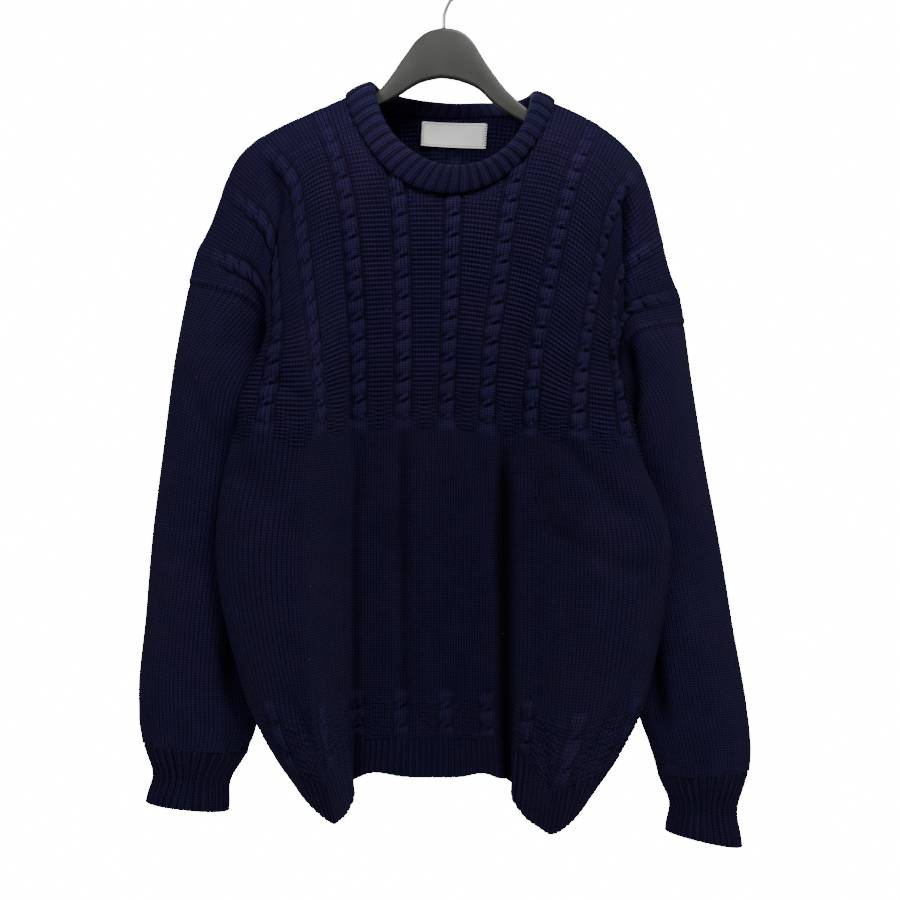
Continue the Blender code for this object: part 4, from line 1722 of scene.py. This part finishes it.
class Shading:
    """A material's node tree, with one method for every kind of node."""

    def __init__(self, name: str) -> None:
        """Makes a material with a Principled BSDF.

        Args:
            name: The material's name.
        """
        self.material = bpy.data.materials.new(name)
        self.material.use_nodes = True
        self.tree = self.material.node_tree
        self.surface = self.tree.nodes["Principled BSDF"]

    def node(self, kind: str, settings: dict | None = None, output: int | str = 0, **inputs: Look) -> Wire:
        """Adds a node.

        Args:
            kind: The node's type, without the ShaderNode prefix.
            settings: Properties, set first. The key "stops" fills a ramp.
            output: Which output to return.
            **inputs: Values or wires for sockets, by name with _ for a space, or by _ and a number.

        Returns:
            The chosen output.
        """
        node = self.tree.nodes.new(f"ShaderNode{kind}")
        for key, value in (settings or {}).items():
            if key == "stops":
                for element, (at, colour) in zip(node.color_ramp.elements, value):
                    element.position, element.color = at, colour
            else:
                setattr(node, key, value)
        for key, value in inputs.items():
            slot = node.inputs[int(key[1:])] if key[0] == "_" else node.inputs[key.replace("_", " ")]
            if isinstance(value, Wire):
                self.tree.links.new(value.socket, slot)
            else:
                slot.default_value = value
        return Wire(self.tree, node.outputs[output])

    def mix(self, factor: Look, first: Look, second: Look, blend: str = "MIX") -> Wire:
        """Mixes two colours."""
        settings = {"data_type": "RGBA", "blend_type": blend}
        return self.node("Mix", settings, 2, _0=factor, _6=first, _7=second)

    def noise(self, where: Wire, scale: float, detail: float = 2.0) -> Wire:
        """Noise from 0 to 1."""
        return self.node("TexNoise", None, "Fac", Vector=where, Scale=scale, Detail=detail)

    def spread(self, value: Wire, low: float, high: float, bottom: float = 0.0, top: float = 1.0) -> Wire:
        """Takes a value's span from low to high to the one from bottom to top, and stops at its ends."""
        ends = {"From_Min": low, "From_Max": high, "To_Min": bottom, "To_Max": top}
        return self.node("MapRange", None, 0, Value=value, **ends)

    def plane(self, uv_map: str) -> tuple[Wire, Wire]:
        """The two coordinates of a UV map."""
        across = self.node("SeparateXYZ", None, 0, Vector=self.node("UVMap", {"uv_map": uv_map}))
        return across, Wire(self.tree, across.socket.node.outputs[1])

    def feed(self, name: str, value: Look) -> None:
        """Sets or links one of the surface's sockets.

        Args:
            name: The socket's name.
            value: A value or a wire.
        """
        slot = self.surface.inputs[name]
        if isinstance(value, Wire):
            self.tree.links.new(value.socket, slot)
        else:
            slot.default_value = value

    def raise_by(self, height: Wire, distance: float, strength: float = 1.0) -> None:
        """Feeds a bump into the surface's normal."""
        self.feed("Normal", self.node("Bump", None, 0, Height=height, Distance=distance, Strength=strength))


def rgba(red: float, green: float, blue: float) -> tuple[float, float, float, float]:
    """An opaque linear colour."""
    return (red, green, blue, 1.0)


@dataclass(frozen=True)
class KnitFinish:
    """Dark navy worsted wool, knitted in stockinette: a V of two plies for every stitch.

    Attributes:
        deep: How bright the cloth is beside the panels' own, one for the same; less than one is painted
            shade.
        name: The material's name.
        wale: Width of a stitch, in metres.
        course: Height of a stitch.
        lean: How far a stitch's legs slope, in courses for half a wale.
        valley: Colour between the stitches, near black: painted shade in the gaps.
        crown: Colour on top of them.
        fuzz: Scale of the fibres' noise.
        uneven: Scale of the dye's unevenness.
        patches: Where the dye turns purple or green.
        patch_edge: How much more of the noise takes a patch to its full strength.
        lint: Colour of the few pale specks.
        speck: Scale of the specks' cells, a speck's size, the share of cells without one, and its strength.
        openness: Span of the relief map that paints shade into the cloth's colour in hollows and folds and a
            painted highlight on raised knitting, and the shades at its ends.
        sheen: Weight of the fuzz's sheen.
        sheen_tint: Its colour.
        stitch_height: Height of the stitches' bump, in metres.
    """

    deep: float = 1.0
    name: str = "navy_wool"
    wale: float = 0.0031
    course: float = 0.0026
    lean: float = 1.1
    valley: tuple = rgba(0.0002, 0.0002, 0.0014)
    crown: tuple = rgba(0.0168, 0.0128, 0.0560)
    fuzz: float = 900.0
    uneven: float = 55.0
    # colour | strength | scale | noise at which it starts
    patches: tuple = (
        (rgba(0.0235, 0.0100, 0.0460), 0.45, 17.0, 0.52),
        (rgba(0.0050, 0.0150, 0.0430), 0.35, 21.7, 0.54),
    )
    patch_edge: float = 0.20
    lint: tuple = rgba(0.09, 0.09, 0.12)
    speck: tuple[float, float, float, float] = (70.0, 0.045, 0.94, 0.6)
    openness: tuple = (0.15, 0.80, 0.06, 1.45)
    sheen: float = 0.02
    sheen_tint: tuple = rgba(0.55, 0.50, 1.0)
    stitch_height: float = 0.0014

    def stitches(self, sh: Shading) -> Wire:
        """How high the stitches stand at each place, from 0 to about 1.

        Args:
            sh: The material's tree.

        Returns:
            The height.
        """
        across, down = sh.plane("Knit")
        side = abs((across / self.wale).fract() - 0.5)
        leg = (1 - (side * 2) ** 4) * (0.55 + 0.45 * (1 - (1 - side * 4) ** 2))
        place = (down / self.course + side * self.lean).fract()
        ply = 1 - (place * 2 - 1) ** 2
        return leg * (0.35 + 0.65 * ply)

    def material(self) -> bpy.types.Material:
        """Builds the finish.

        Returns:
            The new material.
        """
        sh = Shading(self.name)
        stitch = self.stitches(sh)
        where = sh.node("TexCoord", None, "Object")
        fibre = sh.noise(where, self.fuzz, 3)
        uneven = sh.noise(where, self.uneven, 3)
        relief, _ = sh.plane("Relief")
        # painted shade: the wool darkens to near black in the gaps between stitches
        wool = sh.mix(0.08 + stitch * 0.92, self.valley, self.crown)
        for colour, strength, scale, low in self.patches:
            here = sh.spread(sh.noise(where, scale, 2), low, low + self.patch_edge)
            wool = sh.mix(here * strength * (0.3 + stitch * 0.7), wool, colour)
        # fibres and dye give the wool's own uneven tone; the relief map adds painted shade in hollows and
        # folds and a painted highlight on raised knitting; deep adds painted shade on the ribs
        shade = (0.35 + 0.75 * fibre + 0.55 * uneven) * sh.spread(relief, *self.openness) * self.deep
        wool = sh.mix(1.0, wool, sh.node("CombineXYZ", None, 0, X=shade, Y=shade, Z=shade), "MULTIPLY")
        scale, size, without, strength = self.speck
        cells = sh.node("TexVoronoi", {"feature": "F1"}, "Distance", Vector=where, Scale=scale)
        pick = sh.node("SeparateXYZ", None, 0, Vector=Wire(sh.tree, cells.socket.node.outputs["Color"]))
        speck = (size - cells > 0) * (pick > without)
        wool = sh.mix(speck * strength, wool, self.lint)
        sh.feed("Base Color", wool)
        sh.feed("Roughness", 0.80 + 0.15 * fibre)
        sh.feed("Specular IOR Level", 0.05)
        sh.feed("Sheen Weight", self.sheen)
        sh.feed("Sheen Roughness", 0.45)
        sh.feed("Sheen Tint", self.sheen_tint)
        sh.raise_by(stitch + 0.35 * fibre, self.stitch_height, 1.0)
        return sh.material


@dataclass(frozen=True)
class SatinFinish:
    """White woven ribbon, with fine ribs across and a patterned border.

    Attributes:
        name: The material's name.
        half: Half the label's width and height, in metres.
        rim: How far from the ends and from the long edges the border starts.
        selvage: How far from them it stops.
        hem: How far from the ends the stitching is.
        white: Colour of the ribbon.
        grey: Colour of its border.
        navy: Colour of the thread.
    """

    name: str = "white_satin"
    half: tuple = (0.033, 0.0122)
    rim: tuple = (0.0028, 0.0024)
    selvage: tuple = (0.0018, 0.0014)
    hem: float = 0.0012
    white: tuple = rgba(0.90, 0.88, 0.87)
    grey: tuple = rgba(0.30, 0.30, 0.36)
    navy: tuple = rgba(0.02, 0.02, 0.06)

    def material(self) -> bpy.types.Material:
        """Builds the finish.

        Returns:
            The new material.
        """
        sh = Shading(self.name)
        across, down = sh.plane("Knit")
        out_x, out_z = (abs(at - half) for at, half in zip((across, down), self.half))
        edge, line = (
            (out_x > self.half[0] - in_x) + (out_z > self.half[1] - in_z)
            for in_x, in_z in (self.rim, self.selvage)
        )
        band = edge * (1 - (line > 0.5)) > 0.5
        twill = ((across + down) * 2200).sine() * 0.5 + 0.5
        weave = (down * 9000).sine() * 0.5 + 0.5
        cloth = sh.mix(band * (0.35 + 0.5 * twill), self.white, self.grey)
        tacked = (out_x > self.half[0] - self.hem) * ((down * 2600).sine() > -0.1)
        cloth = sh.mix(tacked * 0.9, cloth, self.navy)
        sh.feed("Base Color", cloth)
        sh.feed("Roughness", 0.42 + 0.2 * weave)
        sh.feed("Sheen Weight", 0.2)
        sh.raise_by(weave + twill * 0.5, 0.00015)
        return sh.material


@dataclass(frozen=True)
class PlasticFinish:
    """Dark moulded plastic with a fine satin texture and faint handling marks.

    Attributes:
        name: The material's name.
        dark: Its own colour.
        light: Its colour where it is handled.
    """

    name: str = "grey_plastic"
    dark: tuple = rgba(0.013, 0.014, 0.012)
    light: tuple = rgba(0.024, 0.025, 0.021)

    def material(self) -> bpy.types.Material:
        """Builds the finish.

        Returns:
            The new material.
        """
        sh = Shading(self.name)
        where = sh.node("TexCoord", None, "Object")
        grain = sh.noise(where, 1600, 2)
        worn = sh.noise(where, 38, 4)
        sh.feed("Base Color", sh.mix(worn, self.dark, self.light))
        sh.feed("Roughness", 0.34 + 0.14 * worn + 0.05 * grain)
        sh.raise_by(grain, 0.00012, 0.5)
        return sh.material


@dataclass(frozen=True)
class SteelFinish:
    """Plated steel wire, a little dull in places.

    Attributes:
        name: The material's name.
        bright: Colour of the plating.
        dull: Its colour where it is worn.
    """

    name: str = "plated_steel"
    bright: tuple = rgba(0.62, 0.62, 0.64)
    dull: tuple = rgba(0.42, 0.42, 0.43)

    def material(self) -> bpy.types.Material:
        """Builds the finish.

        Returns:
            The new material.
        """
        sh = Shading(self.name)
        where = sh.node("TexCoord", None, "Object")
        worn = sh.noise(where, 140, 4)
        sh.feed("Base Color", sh.mix(worn, self.bright, self.dull))
        sh.feed("Metallic", 1.0)
        sh.feed("Roughness", 0.18 + 0.18 * worn)
        sh.raise_by(sh.noise(where, 900, 2), 0.00006, 0.4)
        return sh.material


@dataclass(frozen=True)
class Studio:
    """The camera, the sky, the lights and the floor.

    Attributes:
        camera_at: The camera's place, in metres. It looks along +Y.
        lens: Its focal length, in mm.
        sensor: Width of its sensor, in mm.
        sky: Strength of the white sky's light.
        backdrop: Strength with which the camera sees it.
        lights: The soft boxes.
        spot: The narrow beam into the neck: name, place, aim, radius of the lamp and watts.
        beam: Its opening in degrees, and how soft its edge is.
        floor_z: Height of the floor.
        floor_half: Half its width.
    """

    camera_at: tuple = (0.004, -1.45, -0.488)
    lens: float = 58.0
    sensor: float = 36.0
    sky: float = 0.42
    backdrop: float = 16.0
    # name | place | aimed at | size | watts
    lights: tuple = (
        ("key", (0.7, -1.35, 1.4), (0.0, 0.0, -0.35), 0.8, 66.0),
        ("fill", (-1.5, -2.0, 0.1), (0.0, 0.0, -0.5), 1.4, 16.0),
        ("back", (-0.6, 1.9, 1.2), (0.0, 0.0, -0.4), 1.2, 60.0),
    )
    spot: tuple = ("neck", (-0.72, -1.15, 0.12), (0.006, 0.03, -0.17), 0.1, 52.0)
    beam: tuple[float, float] = (10.5, 0.9)
    floor_z: float = -1.35
    floor_half: float = 0.7

    @staticmethod
    def stand(name: str, thing: bpy.types.ID, place: tuple) -> bpy.types.Object:
        """Adds a camera or a lamp at a place.

        Args:
            name: The new object's name.
            thing: The camera or lamp.
            place: Where, in metres.

        Returns:
            The new object.
        """
        stood = bpy.data.objects.new(name, thing)
        stood.location = place
        bpy.context.scene.collection.objects.link(stood)
        return stood

    @staticmethod
    def aim(lamp: bpy.types.Object, at: tuple) -> None:
        """Turns a lamp to shine at a place."""
        lamp.rotation_euler = (Vector(at) - lamp.location).to_track_quat("-Z", "Y").to_euler()

    def camera(self) -> None:
        """Adds the scene's camera."""
        lens = bpy.data.cameras.new("camera")
        lens.lens, lens.sensor_width = self.lens, self.sensor
        eye = self.stand("camera", lens, self.camera_at)
        eye.rotation_euler = (math.pi / 2, 0, 0)
        bpy.context.scene.camera = eye

    def air(self) -> None:
        """Adds a white sky, brighter to the camera than as a light."""
        world = bpy.data.worlds.new("sky")
        world.use_nodes = True
        glow = world.node_tree.nodes["Background"]
        glow.inputs["Color"].default_value = rgba(1, 1, 1)
        sees = world.node_tree.nodes.new("ShaderNodeLightPath")
        power = world.node_tree.nodes.new("ShaderNodeMapRange")
        power.inputs["To Min"].default_value = self.sky
        power.inputs["To Max"].default_value = self.backdrop
        world.node_tree.links.new(sees.outputs["Is Camera Ray"], power.inputs["Value"])
        world.node_tree.links.new(power.outputs["Result"], glow.inputs["Strength"])
        bpy.context.scene.world = world

    def light(self) -> None:
        """Adds the soft boxes, and the spot that lights the inside of the neck."""
        for name, place, at, size, watts in self.lights:
            box = bpy.data.lights.new(name, "AREA")
            box.size, box.energy = size, watts
            self.aim(self.stand(name, box, place), at)
        name, place, at, radius, watts = self.spot
        opening, blend = self.beam
        beam = bpy.data.lights.new(name, "SPOT")
        beam.shadow_soft_size, beam.energy = radius, watts
        beam.spot_size, beam.spot_blend = math.radians(opening), blend
        self.aim(self.stand(name, beam, place), at)

    def floor(self) -> None:
        """Adds a plain pale floor, which isn't part of the object."""
        half = self.floor_half
        mesh = bpy.data.meshes.new("floor")
        corners = [(x * half, y * half, self.floor_z) for x, y in ((-1, -1), (1, -1), (1, 1), (-1, 1))]
        mesh.from_pydata(corners, [], [(0, 1, 2, 3)])
        ground = bpy.data.objects.new("floor", mesh)
        bpy.context.scene.collection.objects.link(ground)
        sh = Shading("pale_floor")
        sh.feed("Base Color", rgba(0.86, 0.86, 0.87))
        sh.feed("Roughness", 0.7)
        mesh.materials.append(sh.material)
        ground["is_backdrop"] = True
SLEEVES = {
    Hand.LEFT: (
        (-271, -400, -164, -468, 44),
        (-282, -480, -168, -512, 42),
        (-291, -560, -175, -578, 40),
        (-300, -650, -186, -657, 37),
        (-307, -725, -189, -728, 34),
        (-306, -755, -189, -762, 32),
        (-302, -780, -197, -787, 29),
        (-301, -838, -216, -847, 22),
    ),
    Hand.RIGHT: (
        (246, -425, 161, -490, 44),
        (257, -490, 163, -528, 42),
        (270, -565, 168, -590, 40),
        (284, -650, 178, -660, 37),
        (301, -745, 191, -745, 34),
        (304, -783, 203, -783, 31),
        (302, -808, 211, -810, 28),
        (297, -883, 218, -867, 22),
    ),
}
SLEEVE_CREASES = {
    Hand.LEFT: (
        Crease((2.35, 190), (2.25, 400), 9, -9.5, 42, 60),
        Crease((0.7, 70), (2.1, 150), 11, -2.6, 42),
        Crease((0.5, 200), (1.6, 330), 14, 1.8, 42),
        Crease((1.9, 180), (1.2, 300), 12, -1.6, 42),
        Crease((3.9, 80), (5.2, 170), 11, -1.8, 42),
        Crease((4.2, 200), (5.3, 330), 14, 1.8, 42),
    ),
    Hand.RIGHT: (
        Crease((2.35, 190), (2.25, 400), 9, -9.5, 42, 60),
        Crease((0.85, -20), (2.25, 62), 7, -8.0, 42, 18),
        Crease((2.18, 25), (2.30, 150), 8, -9.0, 42, 35),
        Crease((2.4, 90), (1.2, 180), 11, -2.6, 42),
        Crease((2.2, 190), (1.3, 320), 14, 1.8, 42),
        Crease((0.9, 170), (1.5, 330), 12, -1.6, 42),
        Crease((5.3, 80), (4.1, 170), 11, -1.8, 42),
        Crease((5.0, 200), (4.2, 330), 14, 1.8, 42),
    ),
}


@dataclass
class Sweater:
    """The whole garment: builds and dresses every cloth piece.

    Attributes:
        garment: What the pieces share.
        rib_deep: How bright the ribs are beside the panels: painted shade that makes the hems and cuffs
            darker.
        cuts: Sizes of the cut sheets.
    """

    garment: Garment = field(default_factory=Garment)
    rib_deep: float = 0.76
    # piece | width and length of the cut, in metres
    cuts: dict = field(
        default_factory=lambda: {
            "front": (0.60, 0.62),
            "back": (0.60, 0.66),
            "sleeve": (0.34, 0.41),
            "cuff": (0.20, 0.08),
            "hem": (0.62, 0.058),
            "neckband": (0.50, 0.062),
            "label": (0.066, 0.0236),
        }
    )

    def wear(
        self,
        piece: bpy.types.Object,
        node: str,
        cut: str,
        finish: bpy.types.Material,
        slot: Slot,
    ) -> None:
        """Args:
            piece: The shell.
            node: The CAD node it stands for.
            cut: The name of its cut. Not used.
            finish: Its material.
            slot: The record's slot. Not used.
        """
        piece.data.materials.append(finish)
        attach(piece, ROOT)
        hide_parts(node)

    def build(self) -> None:
        """Builds every cloth piece."""
        wool = KnitFinish().material()
        # a darker copy of the wool for the hems and cuffs: painted shade
        rib = KnitFinish(deep=self.rib_deep, name="navy_rib_shaded").material()
        for side, title in ((Side.FRONT, "front"), (Side.BACK, "back")):
            panel = Panel(self.garment, side).build(f"knit_{title}")
            self.wear(panel, title, title, wool, Slot.KNIT)
            hem = Hem(self.garment, side).build(f"knit_hem_{title}")
            self.wear(hem, f"hem_{title}", "hem", rib, Slot.KNIT)
        for hand, title in ((Hand.LEFT, "left"), (Hand.RIGHT, "right")):
            tube = Sleeve(self.garment, hand, SLEEVES[hand], creases=SLEEVE_CREASES[hand])
            sleeve = tube.build(f"knit_sleeve_{title}")
            self.wear(sleeve, f"sleeve_{title}", "sleeve", wool, Slot.KNIT)
            cuff = Cuff(self.garment, hand, SLEEVES[hand]).build(f"knit_cuff_{title}")
            self.wear(cuff, f"cuff_{title}", "cuff", rib, Slot.KNIT)
        band = Neckband(self.garment).build("knit_neckband")
        self.wear(band, "neckband", "neckband", wool, Slot.KNIT)
        label = Label(self.garment).build("woven_label")
        self.wear(label, "neck_label", "label", SatinFinish().material(), Slot.LABEL)


def dress_hanger() -> None:
    """Builds the hanger's body and hook."""
    parts = (
        (Hanger().build("moulded_hanger"), "hanger_body", PlasticFinish(), Slot.PLASTIC),
        (Hook().build("wire_hook"), "hanger_hook", SteelFinish(), Slot.STEEL),
    )
    for piece, node, finish, slot in parts:
        piece.data.materials.append(finish.material())
        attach(piece, ROOT)
        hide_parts(node)


def corners() -> list[list[float]]:
    """The object's box as plain lists."""
    low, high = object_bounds()
    return [[float(v) for v in low], [float(v) for v in high]]


def main() -> None:
    """Builds the whole scene round the frame."""
    logging.basicConfig(level=logging.INFO, format="%(name)s: %(message)s")
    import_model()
    studio = Studio()
    studio.camera()
    studio.air()
    studio.light()
    studio.floor()
    Sweater().build()
    dress_hanger()
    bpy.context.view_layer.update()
    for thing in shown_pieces():
        LOG.info("%s has %d faces", thing.name, len(thing.data.polygons))


if __name__ == "__main__":
    main()
